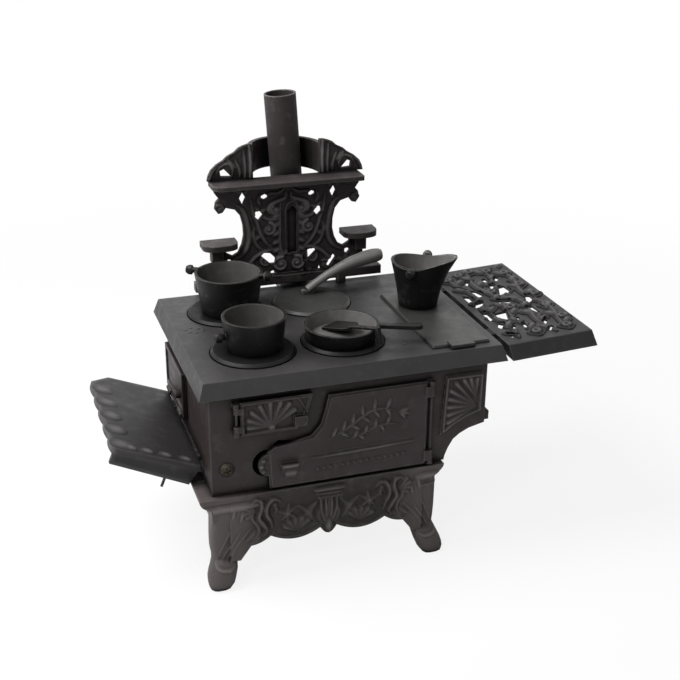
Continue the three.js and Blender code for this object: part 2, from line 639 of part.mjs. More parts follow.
// A barrel round a door's pin, with the web that joins it to the door at x
function doorKnuckle(pinX, x, z0, z1) {
  const web = box(Math.min(pinX, x), Math.max(pinX, x), pinY - hinge.knuckle, pinY + hinge.knuckle - gap,
    z0, z1);
  return join(web, cylinder(hinge.knuckle - gap, z0, z1, smallSteps).translate(pinX, pinY, 0));
}

function draftDoorPlate() {
  const back = pinY + hinge.knuckle - gap;
  const front = back - draftDoor.thickness;
  const slope = draftDoor.right - draftTab.width / 2;
  const shape = (grow) => outline([
    [draftDoor.left - grow, draftDoor.bottom - grow],
      [draftDoor.right - draftTab.width * draftFootShare + grow, draftDoor.bottom - grow],
    [slope + grow, draftDoor.bottom + draftTab.lift + draftTab.height],
      [draftDoor.right + grow, draftDoor.top + grow],
    [draftDoor.left - grow, draftDoor.top + grow],
  ]);
  const plate = upright(shape(0), front, draftDoor.thickness);
  const panel = upright(shape(-draftDoor.frame), front - overrun, overrun + draftDoor.thickness / 3);
  const tab = box(slope - draftTab.width, slope, front - draftTab.proud, front + draftDoor.thickness / 2,
    draftDoor.bottom + draftTab.lift, draftDoor.bottom + draftTab.lift + draftTab.height);
  const z0 = draftDoor.bottom + hinge.ear + gap;
  const z1 = draftDoor.top - hinge.ear - gap;
  const length = hinge.length / 2 + gap;
  const knuckles = [z0, z1 - length].map((z) => doorKnuckle(draftPinX, draftDoor.left + overrun, z,
    z + length));
  const hole = pinHole(draftPinX, draftDoor.bottom - overrun, draftDoor.top + overrun);
  return cut(join(cut(plate, panel), tab, ...knuckles), hole);
}

function uprightPin(x, z0, z1) {
  return cylinder(hinge.pin, z0, z1, smallSteps).translate(x, pinY, 0);
}

// The firebox door hangs on a pin along its lower edge and falls open over the hearth
function fireDoorPlate() {
  const inner = bodyLeft - gap;
  const outer = inner - fireDoor.thickness;
  const z0 = fireDoor.bottom + gap;
  const plate = box(outer, inner, fireDoor.front, fireDoor.rear, z0, fireDoor.top);
  const panel = box(outer - overrun, outer + fireDoor.thickness / 3,
    fireDoor.front + fireDoor.frame, fireDoor.rear - fireDoor.frame, z0 + 2 * fireDoor.frame,
      fireDoor.top - fireDoor.frame);
  const knob = cylinder(fireKnob.radius, 0, fireKnob.reach + fireDoor.thickness / 2, smallSteps)
    .rotateY(-Math.PI / 2)
    .translate(outer + fireDoor.thickness / 2, fireDoor.front + 2 * fireKnob.radius,
      (fireDoor.bottom + fireDoor.top) / 2);
  const bore = rodAlongY(hinge.pin + hinge.fit, firePinX, fireDoor.front - overrun, fireDoor.rear + overrun,
    fireDoor.bottom);
  const clear = fireEarPlaces().map((y) => box(outer - overrun, inner + overrun, y - gap, y + hinge.ear + gap,
    z0 - overrun, fireDoor.bottom + hinge.knuckle + gap));
  return cut(join(cut(plate, panel), knob, ...fireKnuckles()), bore, ...clear);
}

function fireKnucklePlaces() {
  const inwards = (fireDoor.rear - fireDoor.front) * knuckleInsetShare;
  return [fireDoor.front + inwards, fireDoor.rear - inwards - hinge.length];
}

// Ears on the left panel at the outer side of each of the firebox door's knuckles
function fireEarPlaces() {
  const [first, last] = fireKnucklePlaces();
  return [first - gap - hinge.ear, last + hinge.length + gap];
}

function firePinEars() {
  return fireEarPlaces().map((y) => join(
    rodAlongY(hinge.knuckle, firePinX, y, y + hinge.ear, fireDoor.bottom),
    box(firePinX, bodyLeft + gap, y, y + hinge.ear, fireDoor.bottom - hinge.knuckle, fireDoor.bottom)));
}

function firePinRod() {
  const [first, last] = fireEarPlaces();
  return rodAlongY(hinge.pin, firePinX, first - gap, last + hinge.ear + gap, fireDoor.bottom);
}

function fireKnuckles() {
  return fireKnucklePlaces().map((y) => rodAlongY(hinge.knuckle, firePinX, y, y + hinge.length,
    fireDoor.bottom));
}

// Hearth

// The two lugs of the apron pass through slots in the left panel
function apronLugs(fit) {
  const l = apron.lug;
  return [apron.front + l.inset, apron.rear - l.inset - l.width].map((y) => box(
    bodyLeft - gap - l.reach, bodyLeft + casting + l.reach / 2 + fit, y - fit, y + l.width + fit,
    apron.height - l.height - fit, apron.height + fit));
}

// The apron is drawn level from its inner edge at x = 0 towards -X, then tilted up
function apronPlate() {
  const a = apron;
  const outer = -a.length + a.scallop / 2;
  const step = (a.rear - a.chamfer - a.front) / a.scallops;
  const edge = new THREE.Shape();
  edge.moveTo(0, a.front);
  edge.lineTo(0, a.rear);
  edge.lineTo(outer + a.chamfer, a.rear);
  edge.lineTo(outer, a.rear - a.chamfer);
  for (let i = 0; i < a.scallops; i += 1) {
    const y = a.rear - a.chamfer - step * (i + 1);
    edge.quadraticCurveTo(outer - a.scallop, y + step / 2, outer, y);
  }
  const plate = cut(flat(edge, -a.thickness, a.thickness), frontEdgeWedge());
  const curtain = upright(outline([
    [-a.edgeRound, -gap - a.edgeRound], [-a.skirtStart, -a.innerSkirt], [outer + gap, -a.outerSkirt],
      [outer + gap, -gap - a.edgeRound],
  ]), a.front, a.thickness);
  const peg = cylinder(a.peg.radius, -a.peg.reach, -a.thickness / 2, smallSteps)
    .translate(-a.peg.fromBody, a.front + a.peg.fromFront, 0);
  const tilted = join(plate, curtain, peg)
    .rotateY(degrees(a.tilt))
    .translate(bodyLeft - gap - a.thickness * Math.sin(degrees(a.tilt)), 0, a.height);
  return join(tilted, ...apronLugs(0));
}

// Takes the sharp corner off the front edge of the apron's plate
function frontEdgeWedge() {
  const a = apron;
  return sideways(outline([
    [a.front - overrun, gap], [a.front + a.edgeRound, gap], [a.front + a.edgeRound, 0],
      [a.front, -a.edgeRound],
    [a.front - overrun, -a.edgeRound],
  ]), -a.length - overrun, a.length + 2 * overrun);
}

// Hob

const burnerPlaces = [
  ['front_left', -1, -1], ['front_centre', 1, -1], ['rear_left', -1, 1], ['rear_centre', 1, 1],
].map(([name, sx, sy]) => ({
  name, x: burner.middle + sx * burner.pitchX / 2, y: sy * burner.pitchY / 2,
}));

function hobPlate() {
  const b = hob.bevel;
  const outer = slopedSlab(
    { x0: hobLeft + b, x1: hobRight - b, y0: hobFront + b, y1: hobBack - b, z: hob.top },
    { x0: hobLeft, x1: hobRight, y0: hobFront, y1: hobBack, z: hobEdge });
  const r = hob.rim;
  const u = r + b * (hobUnderside - hobEdge) / hob.rise;
  const hollow = slopedSlab(
    { x0: hobLeft + u, x1: hobRight - u, y0: hobFront + u, y1: hobBack - u, z: hobUnderside },
    { x0: hobLeft + r, x1: hobRight - r, y0: hobFront + r, y1: hobBack - r, z: hobEdge - gap });
  const tongue = join(
    cylinder(flue.radius, hobUnderside, hob.top).translate(flue.x, flue.y, 0),
    box(flue.x - flue.radius, flue.x + flue.radius, hobBack - b - r, flue.y, hobUnderside, hob.top));
  const spigot = cut(cylinder(flue.spigot, hob.top - gap, hob.top + flue.spigotHeight, roundSteps / 2),
    cylinder(flue.spigot - casting, hob.top - hob.plate, hob.top + flue.spigotHeight + overrun,
      roundSteps / 2))
    .translate(flue.x, flue.y, 0);
  const recesses = burnerPlaces.flatMap(({ x, y }) => [
    cylinder(burner.recess, hob.top - burner.recessDepth, hob.top + overrun).translate(x, y, 0),
    cylinder(burner.hole, hobUnderside - overrun, hob.top).translate(x, y, 0),
  ]);
  const l = reservoirLid;
  const tank = box(l.left + l.lap, l.right - l.lap, l.front + l.lap, l.rear - l.lap, hobUnderside - overrun,
    hob.top + overrun);
  const sockets = lugPlaces().map((y) => lugSolid(y, gap));
  const screws = [-1, 1].map((side) => cylinder(footScrew.radius + gap, hobUnderside - overrun,
    hob.top + overrun, smallSteps)
    .translate(splash.middle + side * splashPost.offset, splashPostY, 0));
  return cut(join(cut(outer, hollow), tongue, spigot), ...recesses, tank, ...sockets, ...screws);
}

function stoveLid() {
  const seat = hob.top - burner.recessDepth + gap;
  return revolve([
    [0, seat - lid.plugDepth], [lid.plug, seat - lid.plugDepth], [lid.plug, seat], [lid.radius, seat],
    [lid.radius, seat + lid.thickness - lid.edgeWidth], [lid.radius - lid.edgeWidth, seat + lid.thickness],
      [0, seat + lid.thickness],
  ]);
}

const lidTop = hob.top - burner.recessDepth + gap + lid.thickness;

// The rear centre lid has the slot that takes the lifter
function slottedLid(place) {
  const half = { x: lid.slotLength / 2, y: lid.slotWidth / 2 };
  const slot = box(-half.x, half.x, -half.y, half.y, lidTop - lid.thickness, lidTop + overrun)
    .translate(-lid.slotAside, lid.slotBack, 0);
  return cut(stoveLid(), slot).translate(place.x, place.y, 0);
}

function reservoirLidPlate() {
  const l = reservoirLid;
  const z = hob.top + gap;
  const b = l.thickness / 2;
  const slab = slopedSlab(
    { x0: l.left + b, x1: l.right - b, y0: l.front + b, y1: l.rear - b, z: z + l.thickness },
    { x0: l.left, x1: l.right, y0: l.front, y1: l.rear, z });
  const f = l.lap + gap;
  const plug = box(l.left + f, l.right - f, l.front + f, l.rear - f, z - l.plugDepth, z + b);
  const middle = l.right - l.tabInset;
  const from = l.front - l.tabReach;
  const tab = box(middle - l.tabWidth / 2, middle + l.tabWidth / 2, from, from + l.tabDepth, z,
    z + l.thickness + l.tabRise);
  return join(slab, plug, tab);
}

// Back

const splashPostY = splash.front - splashPost.depth / 2;

function mirrored(points) {
  return [...points, ...points.map(([x, z]) => [-x, z]).reverse()];
}

// An upright plate with openings through it
function pierced(points, openings, y0, depth) {
  const tools = openings.map((opening) => upright(outline(opening), y0 - overrun, depth + 2 * overrun));
  return cut(upright(outline(points), y0, depth), ...tools);
}

function splashPlate() {
  const at = ([u, v]) => [splash.halfWidth * u, splash.bottom + splash.height * v];
  const half = splashEdgeShares.map(at);
  const right = splashOpeningShares.map((points) => points.map(at));
  const left = right.map((points) => points.map(([x, z]) => [-x, z]));
  const s = splashSlot;
  const slot = [[s.offset - s.width / 2, s.bottom], [s.offset + s.width / 2, s.bottom],
    [s.offset + s.width / 2, s.top - s.width / 2], [s.offset, s.top],
      [s.offset - s.width / 2, s.top - s.width / 2]];
  const plate = pierced(mirrored(half), [...right, ...left, slot], splash.front, splash.thickness);
  const ledgeTop = splash.bottom + splashLedge.height;
  const ledge = box(-splashLedge.halfLength, splashLedge.halfLength,
    splash.front + splash.thickness - splashLedge.depth,
    splash.front + splash.thickness, splash.bottom, ledgeTop);
  const posts = [-1, 1].map((side) => {
    const x = side * splashPost.offset;
    const half = splashPost.width / 2;
    return box(x - half, x + half, splash.front - splashPost.depth, splash.front + gap, hob.top + gap,
      ledgeTop);
  });
  const screwHoles = [-1, 1].map((side) => cylinder(footScrew.radius + gap, hob.top - overrun,
    splash.bottom + splashPost.depth / 2, smallSteps)
    .translate(side * splashPost.offset, splashPostY, 0));
  const body = join(plate, ledge, ...posts, bracketShelf(1), bracketShelf(-1));
  return cut(body, ...screwHoles).translate(splash.middle, 0, 0);
}

// A half-round shelf on a short stem, on the side given by its sign
function bracketShelf(side) {
  const middle = side * (bracket.inner + bracket.outer) / 2;
  const half = (bracket.outer - bracket.inner) / 2;
  const back = splash.front + splash.thickness;
  const top = new THREE.Shape();
  top.moveTo(middle - half, back);
  top.lineTo(middle - half, back - bracket.depth / 2);
  top.quadraticCurveTo(middle - half, back - bracket.depth, middle, back - bracket.depth);
  top.quadraticCurveTo(middle + half, back - bracket.depth, middle + half, back - bracket.depth / 2);
  top.lineTo(middle + half, back);
  const plate = flat(top, bracket.top - bracket.thickness, bracket.thickness);
  const stemX = side * (splash.halfWidth - bracket.stem / 2);
  const foot = bracket.top - bracket.thickness - bracket.stemDrop;
  const stem = box(stemX - bracket.stem / 2, stemX + bracket.stem / 2, back - bracket.stemDepth, back, foot,
    bracket.top - bracket.thickness / 2);
  return join(plate, stem);
}

function warmingShelf() {
  const back = splash.front + splash.thickness;
  const front = back - shelf.depth;
  const h = shelf.halfLength;
  const r = shelf.endRadius;
  const plan = new THREE.Shape();
  plan.moveTo(-h, back);
  plan.lineTo(-h, front + r);
  plan.quadraticCurveTo(-h, front, -h + r, front);
  plan.lineTo(h - r / 4, front);
  plan.quadraticCurveTo(h, front, h, front + r / 4);
  plan.lineTo(h, back);
  return flat(plan, shelf.bottom, shelf.thickness).translate(shelf.middle, 0, 0);
}

// The crest: two scalloped wings and between them a bay that goes back round the pipe
function crestCasting() {
  const foot = shelf.bottom + shelf.thickness + gap;
  const at = ([u, v]) => [crest.halfWidth * u, foot + crest.height * v];
  const inner = crest.bayHalf - casting;
  const wing = [...crestEdgeShares.map(at), [inner, foot + crest.height], [inner, foot]];
  const hole = crestOpeningShares.map(at);
  const wings = [1, -1].map((side) => {
    const turn = (points) => points.map(([x, z]) => [side * x, z]);
    return pierced(turn(wing), [turn(hole)], splash.front, splash.thickness);
  });
  const depth = crest.bayDepth;
  const halfRing = (half, deep, z0, height) => common(
    cylinder(half, z0, z0 + height).scale(1, deep / half, 1).translate(0, splash.front, 0),
    box(-half - overrun, half + overrun, splash.front, splash.front + deep + overrun, z0 - overrun,
      z0 + height + overrun));
  const bay = cut(halfRing(crest.bayHalf, depth, foot, crest.bayHeight),
    cylinder(crest.bayHalf - casting, foot - overrun, foot + crest.bayHeight + overrun)
      .scale(1, (depth - casting) / (crest.bayHalf - casting), 1).translate(0, splash.front, 0));
  return join(...wings, bay).translate(crest.middle, 0, 0);
}

function stovePipe() {
  const bore = pipe.radius - pipe.wall;
  return revolve([[bore, 0], [pipe.radius, 0], [pipe.radius, pipe.length], [bore, pipe.length], [bore, 0]]);
}

// Side shelf, drawn level with its top at z = 0 and its inner top edge at x = 0

function lugPlaces() {
  const middle = sideShelf.front + sideShelf.depth / 2;
  const reach = sideShelf.depth / 2 - sideShelf.lugInset;
  return [middle - reach, middle + reach];
}

// A lug that runs in through the hob's sloping edge, grown all round by a fit
function lugSolid(y, fit) {
  const top = hob.top - hob.plate / 2;
  const half = sideShelf.lugWidth / 2 + fit;
  const from = hobRight + sideShelf.distance + sideShelf.undercut - hob.rim - sideShelf.lugReach - fit;
  return box(from, hobRight + sideShelf.distance + sideShelf.undercut + sideShelf.rim, y - half, y + half,
    top - sideShelf.lugHeight - fit, top + fit);
}

// An opening of the side shelf; its far sides are cast wider than its near ones
function sideShelfOpening(points) {
  const s = sideShelf;
  const mean = (k) => points.reduce((sum, point) => sum + point[k], 0) / points.length;
  const [middleU, middleV] = [mean(0), mean(1)];
  return points.map(([u, v]) => [
    s.length * u + (u > middleU ? s.widen : 0), s.depth * v + (v > middleV ? s.deepen : 0),
  ]);
}

function sideShelfGrille() {
  const s = sideShelf;
  const outer = slopedSlab(
    { x0: 0, x1: s.length, y0: 0, y1: s.depth, z: 0 },
    { x0: s.undercut, x1: s.length + s.bevel, y0: -s.bevel, y1: s.depth + s.bevel, z: -s.rise });
  const hollow = slopedSlab(
    { x0: s.rim, x1: s.length - s.rim, y0: s.rim, y1: s.depth - s.rim, z: -s.plate },
    { x0: s.undercut + s.rim, x1: s.length + s.bevel - s.rim, y0: s.rim - s.bevel,
      y1: s.depth + s.bevel - s.rim, z: -s.rise - gap });
  const holes = sideShelfOpeningShares.map((points) =>
    flat(outline(sideShelfOpening(points)), -s.plate - overrun, s.plate + 2 * overrun));
  const placed = cut(outer, hollow, ...holes)
    .rotateY(-degrees(s.tilt))
    .translate(hobRight - hob.bevel + s.distance + hob.bevel, s.front, hob.top - s.fall);
  return join(placed, ...lugPlaces().map((y) => lugSolid(y, 0)));
}

// Fasteners

function tieBoltSolid() {
  const y0 = bodyFront - gap;
  const shank = rodAlongY(tieBolt.radius, tieBolt.x, y0 - gap, bodyBack + tieBolt.nutHeight + overrun,
    tieBolt.z);
  const dome = revolve([[0, 0], [tieBolt.head, 0],
    [tieBolt.head * headRoundShares[0], tieBolt.headHeight * headRoundShares[1]], [0, tieBolt.headHeight]],
      smallSteps * 2)
    .rotateX(Math.PI / 2).translate(tieBolt.x, y0, tieBolt.z);
  return join(shank, dome);
}

function tieNut() {
  const y0 = bodyBack + gap;
  const block = rodAlongY(tieBolt.nutRadius, tieBolt.x, y0, y0 + tieBolt.nutHeight, tieBolt.z, nutSides);
  return cut(block, rodAlongY(tieBolt.radius + gap, tieBolt.x, y0 - overrun,
    y0 + tieBolt.nutHeight + overrun, tieBolt.z));
}

// A bolt driven in from the back of the rear panel
function backBolt(x, z) {
  const head = bodyBack + gap;
  const shank = rodAlongY(rearBolt.radius, x, bodyBack - rearBolt.length, head + rearBolt.headHeight / 2, z);
  return join(shank, rodAlongY(rearBolt.head, x, head, head + rearBolt.headHeight, z));
}

// A screw from under the hob up into a post of the splash plate
function footScrewSolid(side) {
  const top = hobUnderside - gap;
  const shank = cylinder(footScrew.radius, top - footScrew.headHeight / 2, splash.bottom, smallSteps);
  const head = cylinder(footScrew.head, top - footScrew.headHeight, top, smallSteps);
  return join(shank, head).translate(splash.middle + side * splashPost.offset, splashPostY, 0);
}

// Pots and tools

function potShell(pot, steps = roundSteps) {
  return revolve([
    [0, 0], [pot.base, 0], [pot.rim, pot.height], [pot.rim - pot.wall, pot.height],
      [pot.base - pot.wall, pot.wall], [0, pot.wall],
  ], steps);
}

// A spool shaped lug on the wall of a pot, pointing away from its middle
function potEar(pot, turn) {
  const height = pot.height - pot.earDrop;
  const radius = pot.base + (pot.rim - pot.base) * height / pot.height - pot.wall;
  return revolve([
    [0, 0], [ear.neck, 0], [ear.neck, ear.length * neckShare], [ear.flange, ear.length * (1 - neckShare)],
    [ear.flange, ear.length * flangeShare], [ear.tipRadius, ear.length], [0, ear.length],
  ], smallSteps).rotateY(Math.PI / 2).translate(radius, 0, height).rotateZ(degrees(turn));
}

function earedPot(pot) {
  return join(potShell(pot), ...pot.earTurns.map((turn) => potEar(pot, turn)));
}

function skilletPan() {
  const s = skillet;
  const from = s.rim - s.wall;
  const to = s.rim + s.handleLength;
  const w = s.handleWidth / 2;
  const plan = new THREE.Shape();
  plan.moveTo(from, -w / 2);
  plan.lineTo(from, w / 2);
  plan.quadraticCurveTo(from + w, w / 2, to - 2 * w, w);
  plan.quadraticCurveTo(to, w, to, 0);
  plan.quadraticCurveTo(to, -w, to - 2 * w, -w);
  plan.quadraticCurveTo(from + w, -w / 2, from, -w / 2);
  const handle = flat(plan, s.height - s.handleThickness, s.handleThickness - gap);
  return join(potShell(s), handle.rotateZ(degrees(s.handleTurn)));
}

// How far along the turner a circle about the skillet's middle crosses it
function turnerReach(radius) {
  const [x, y] = [turner.startX - skillet.x, turner.startY - skillet.y];
  const [alongX, alongY] = [Math.cos(degrees(turner.turn)), Math.sin(degrees(turner.turn))];
  const aside = x * alongY - y * alongX;
  return Math.sqrt(radius ** 2 - aside ** 2) - x * alongX - y * alongY;
}

// The turner lies with its blade in the pan; its stem crosses the rim and hooks down outside
function turnerTool() {
  const t = turner;
  const round = t.bladeLength * bladeRoundShare;
  const half = t.bladeWidth / 2;
  const blade = new THREE.Shape();
  blade.moveTo(0, -half);
  blade.lineTo(t.bladeLength - round, -half);
  blade.quadraticCurveTo(t.bladeLength, -half, t.bladeLength, 0);
  blade.quadraticCurveTo(t.bladeLength, half, t.bladeLength - round, half);
  blade.lineTo(0, half);
  const slope = Math.atan2(skillet.height - skillet.wall, turnerReach(skillet.rim - skillet.wall));
  const bend = (turnerReach(skillet.rim) + t.thickness) / Math.cos(slope);
  const w = t.stemWidth / 2;
  const stem = box(t.bladeLength - t.thickness, bend + t.thickness, -w, w, 0, t.thickness);
  const hook = box(bend, bend + t.thickness, -w, w, -t.hook, t.thickness);
  return join(flat(blade, 0, t.thickness), stem, hook)
    .rotateY(-slope)
    .rotateZ(degrees(t.turn))
    .translate(t.startX, t.startY, skillet.wall + gap);
}

// The scuttle's rim rises to a spout on one side and to a lower crest on the other
function scuttleBucket() {
  const s = scuttle;
  const steps = roundSteps * 3 / 4;
  const ring = (share, z, shrink) => Array.from({ length: steps }, (unused, i) => {
    const angle = 2 * Math.PI * i / steps;
    const toSpout = Math.max(0, Math.cos(angle)) ** 2;
    const toBack = Math.max(0, -Math.cos(angle)) ** 2;
    const round = s.base + (s.bowl - s.base) * share;
    const reach = (s.spout - s.bowl) * (toSpout ** 2 + toBack * scuttleBackShare) * share ** 2;
    const radius = round + reach - shrink;
    const rise = s.height * share * (scuttleLipShare * toSpout + scuttleBackShare * toBack / 3);
    return new THREE.Vector3(radius * Math.cos(angle), radius * Math.sin(angle), z + rise);
  });
  const outer = loft(scuttleRingShares.map((share) => ring(share, s.height * share, 0)));
  const inner = loft([
    ...scuttleRingShares.map((share) => ring(share, share === 0 ? s.wall : s.height * share, s.wall)),
    ring(1, s.height + s.bowl, s.wall),
  ]);
  const ears = s.earTurns.map((turn) => potEar({ ...s, rim: s.bowl }, turn));
  return join(cut(outer, inner), ...ears).rotateZ(degrees(s.turn));
}

// A slim curved handle that swells to a round end, with the blade that fits the lid's slot
function lidLifter() {
  const l = lifter;
  const path = new THREE.QuadraticBezierCurve3(
    new THREE.Vector3(0, 0, 0), new THREE.Vector3(l.reach * lifterBendShares[0], 0,
      l.rise * lifterBendShares[1]), new THREE.Vector3(l.reach, 0, l.rise));
  const stationShares = [0, 0.12, 0.28, 0.45, 0.62, 0.78, 0.9, 0.97, 1];
  const radiusShares = [0.1, 0, 0.1, 0.35, 0.7, 0.95, 1, 0.75, 0.3];
  const rings = stationShares.map((share, i) => {
    const centre = path.getPoint(share);
    const along = path.getTangent(share);
    const across = new THREE.Vector3(0, 1, 0);
    const up = new THREE.Vector3().crossVectors(along, across);
    const radius = l.slim + (l.stout - l.slim) * radiusShares[i];
    return Array.from({ length: smallSteps }, (unused, k) => {
      const angle = 2 * Math.PI * k / smallSteps;
      return centre.clone().addScaledVector(across, radius * Math.cos(angle)).addScaledVector(up,
        radius * Math.sin(angle));
    });
  });
  const foot = box(-lid.slotLength / 2 + gap, lid.slotLength / 2 - gap, -lid.slotWidth / 2 + gap,
    lid.slotWidth / 2 - gap,
    gap - l.blade, l.slim);
  return join(loft(rings).translate(0, 0, l.slim), foot);
}

// Assembly

const stove = new THREE.Group();
const range = new THREE.Group();
stove.add(range);

function add(name, geometry, finish = iron) {
  const mesh = piece(name, geometry, finish);
  range.add(mesh);
  return mesh;
}

add('front_base', frontBase());
add('rear_base', rearBase());
add('left_base_rail', sideRail(baseLeft, { left: base.nose }));
add('right_base_rail', sideRail(baseRight - sideWidth, { right: base.nose }));
add('bottom_plate', bottomPlate());
add('front_panel', frontPanel());
add('left_panel', leftPanel());
add('right_panel', rightPanel());
add('rear_panel', rearPanel());
add('oven_door', ovenDoorPlate());
add('oven_door_pin', uprightPin(ovenPinX, ovenDoor.bottom + gap, ovenDoor.top - gap), blackIron);
add('draft_door', draftDoorPlate());
add('draft_door_pin', uprightPin(draftPinX, draftDoor.bottom + gap, draftDoor.top - gap), blackIron);
add('firebox_door', fireDoorPlate());
add('firebox_door_pin', firePinRod(), blackIron);
add('hearth_apron', apronPlate());

add('hob', hobPlate());
burnerPlaces.forEach((place) => {
  const slotted = place.name === 'rear_centre';
  const geometry = slotted ? slottedLid(place) : stoveLid().translate(place.x, place.y, 0);
  add(`lid_${place.name}`, geometry, blackIron);
});
add('reservoir_lid', reservoirLidPlate(), blackIron);

add('splash_plate', splashPlate());
add('warming_shelf', warmingShelf());
add('crest', crestCasting());
const pipeMesh = add('stove_pipe', stovePipe());
const lean = degrees(pipe.leanDegrees);
pipeMesh.rotation.y = -lean;
pipeMesh.position.set(flue.x, flue.y, hob.top + gap + pipe.radius * Math.sin(lean));
add('side_shelf', sideShelfGrille());

add('tie_bolt', tieBoltSolid(), plainSteel);
add('tie_nut', tieNut(), plainSteel);
add('rear_bolt_high', backBolt(...rearBoltPlaces[0]), plainSteel);
add('rear_bolt_low', backBolt(...rearBoltPlaces[1]), plainSteel);
add('splash_screw_left', footScrewSolid(-1), plainSteel);
add('splash_screw_right', footScrewSolid(1), plainSteel);

const onLid = lidTop + gap;
add('rear_pot', earedPot(rearPot), blackIron).position.set(rearPot.x, rearPot.y, onLid);
add('front_pot', earedPot(frontPot), blackIron).position.set(frontPot.x, frontPot.y, onLid);
add('skillet', skilletPan(), blackIron).position.set(skillet.x, skillet.y, onLid);
add('coal_scuttle', scuttleBucket(), blackIron)
  .position.set(scuttle.x, scuttle.y, hob.top + gap + reservoirLid.thickness + gap);
const rearCentre = burnerPlaces.find((place) => place.name === 'rear_centre');
add('lid_lifter', lidLifter(), blackIron)
  .position.set(rearCentre.x - lid.slotAside, rearCentre.y + lid.slotBack, lidTop);
add('turner', turnerTool(), blackIron).position.z = onLid;

// Stand the whole range on z = 0, over the middle of its own footprint
const bounds = new THREE.Box3().setFromObject(range);
range.position.set(-(bounds.min.x + bounds.max.x) / 2, -(bounds.min.y + bounds.max.y) / 2, -bounds.min.z);

export default stove;
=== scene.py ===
# Looks of the cast iron toy range: finishes, cast ornament, lights, floor and camera.

import json
import math

import bpy
import numpy as np
from mathutils import Matrix, Vector
from mathutils.bvhtree import BVHTree


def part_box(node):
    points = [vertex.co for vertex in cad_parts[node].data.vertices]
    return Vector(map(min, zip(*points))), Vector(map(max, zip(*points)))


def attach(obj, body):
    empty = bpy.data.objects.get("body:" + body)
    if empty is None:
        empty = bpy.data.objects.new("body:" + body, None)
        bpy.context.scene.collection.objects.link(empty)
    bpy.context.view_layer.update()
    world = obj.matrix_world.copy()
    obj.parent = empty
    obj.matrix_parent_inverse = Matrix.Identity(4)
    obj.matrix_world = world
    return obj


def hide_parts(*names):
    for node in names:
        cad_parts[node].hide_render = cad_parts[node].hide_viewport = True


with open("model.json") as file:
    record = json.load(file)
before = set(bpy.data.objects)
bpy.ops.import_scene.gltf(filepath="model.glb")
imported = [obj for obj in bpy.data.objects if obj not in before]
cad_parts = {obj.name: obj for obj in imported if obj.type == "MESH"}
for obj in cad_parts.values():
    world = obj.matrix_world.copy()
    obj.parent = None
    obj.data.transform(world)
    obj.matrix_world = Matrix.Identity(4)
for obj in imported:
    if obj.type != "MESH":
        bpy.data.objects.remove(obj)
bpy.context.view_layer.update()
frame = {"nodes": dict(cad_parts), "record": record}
nodes = frame["nodes"]
slots = {part["node"]: part["material_slot"] for part in frame["record"]["subparts"]}
bodies = frame["record"]["behaviour"]["bodies"]

MM = 0.001

# The range's own millimetres have x = y = 0 under the middle of the hob and z = 0 under the legs' pads.
HOB_LENGTH = 200
HOB_DEPTH = 150
HOB_EDGE = 136.7
hob_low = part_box("hob")[0]
origin = hob_low + Vector((HOB_LENGTH / 2, HOB_DEPTH / 2, -HOB_EDGE)) * MM

# Middle lines of what is mirrored, along X
LEG_MIDDLE = -19.25
SPLASH_MIDDLE = -3.2
CREST_MIDDLE = -4.2


def at(x, y, z):
    """A point of the range's own millimetres, in the frame's metres."""
    return origin + Vector((x, y, z)) * MM


def body_of(node):
    return next(name for name, members in bodies.items() if node in members)


# Materials

# Scale, detail and roughness of each pattern; the scale is in repeats to the metre
BLOTCHES = (26, 5)
PATCHES = (130, 4)
DENTS = (340, 3, 0.5)
SAND = (1500, 3, 0.7)
STEEL_SPOTS = (420, 4)
STEEL_MARKS = (2600, 2)
FLOOR_CLOUDS = 3.0

# The span of a pattern's values over which something changes
MOTTLED = (0.32, 0.68)
PATCHED = (0.55, 0.8)
SPECKLED = (0.3, 0.65)
SPOTTED = (0.4, 0.7)
EVENLY = (0.3, 0.7)

# How alike the flat and the rounded normal are where wear starts and is full, and how open to the air a place
# is where painted shade starts and is full
EDGE_LIKENESS = (0.99, 0.8)
AIR_SHARES = (0.86, 0.4)
EDGE_SAMPLES = 4
AIR_SAMPLES = 6

# Painted shade: the black that crowded places and the ground beside raised ornament are mixed to, its share
# there, and the share of shine kept there
PAINTED_SHADE = (0.004, 0.0035, 0.0035, 1)
PAINTED_SHADE_SHARE = 0.95
PAINTED_SHADE_SHINE = 0.1
END_SHARE = 0.3
LEAST_RUBBED = 0.25
LEAST_BARE = 0.7
RUBBED_SMOOTHER = -0.12
PATCH_ROUGHER = 0.08
PATCH_SMOOTHER = 0.06
DENT_DEPTH = 0.22
DENT_STRENGTH = 0.35
SAND_DEPTH = 0.09
SAND_STRENGTH = 0.45
STEEL_MARK_DEPTH = 0.04
STEEL_MARK_STRENGTH = 0.4
STEEL_SPOT_ROUGHER = 0.15
STEEL_METALLIC = 0.85


def new_node(tree, kind, inputs=None, **settings):
    node = tree.nodes.new(kind)
    for name, value in settings.items():
        setattr(node, name, value)
    for name, value in (inputs or {}).items():
        if isinstance(value, bpy.types.NodeSocket):
            tree.links.new(value, node.inputs[name])
        else:
            node.inputs[name].default_value = value
    return node


def new_material(name):
    material = bpy.data.materials.new(name)
    material.use_nodes = True
    material.node_tree.nodes.clear()
    return material, material.node_tree


def noise(tree, place, scale, detail=4.0, roughness=0.6):
    node = new_node(tree, "ShaderNodeTexNoise", {
        "Vector": place, "Scale": scale, "Detail": detail, "Roughness": roughness})
    return node.outputs["Factor"] if "Factor" in node.outputs else node.outputs["Fac"]


def between(tree, value, low, high, to_low=0.0, to_high=1.0):
    node = new_node(tree, "ShaderNodeMapRange", {
        "Value": value, "From Min": low, "From Max": high, "To Min": to_low, "To Max": to_high})
    return node.outputs["Result"]


def times(tree, first, second):
    return new_node(tree, "ShaderNodeMath", {0: first, 1: second}, operation="MULTIPLY").outputs[0]


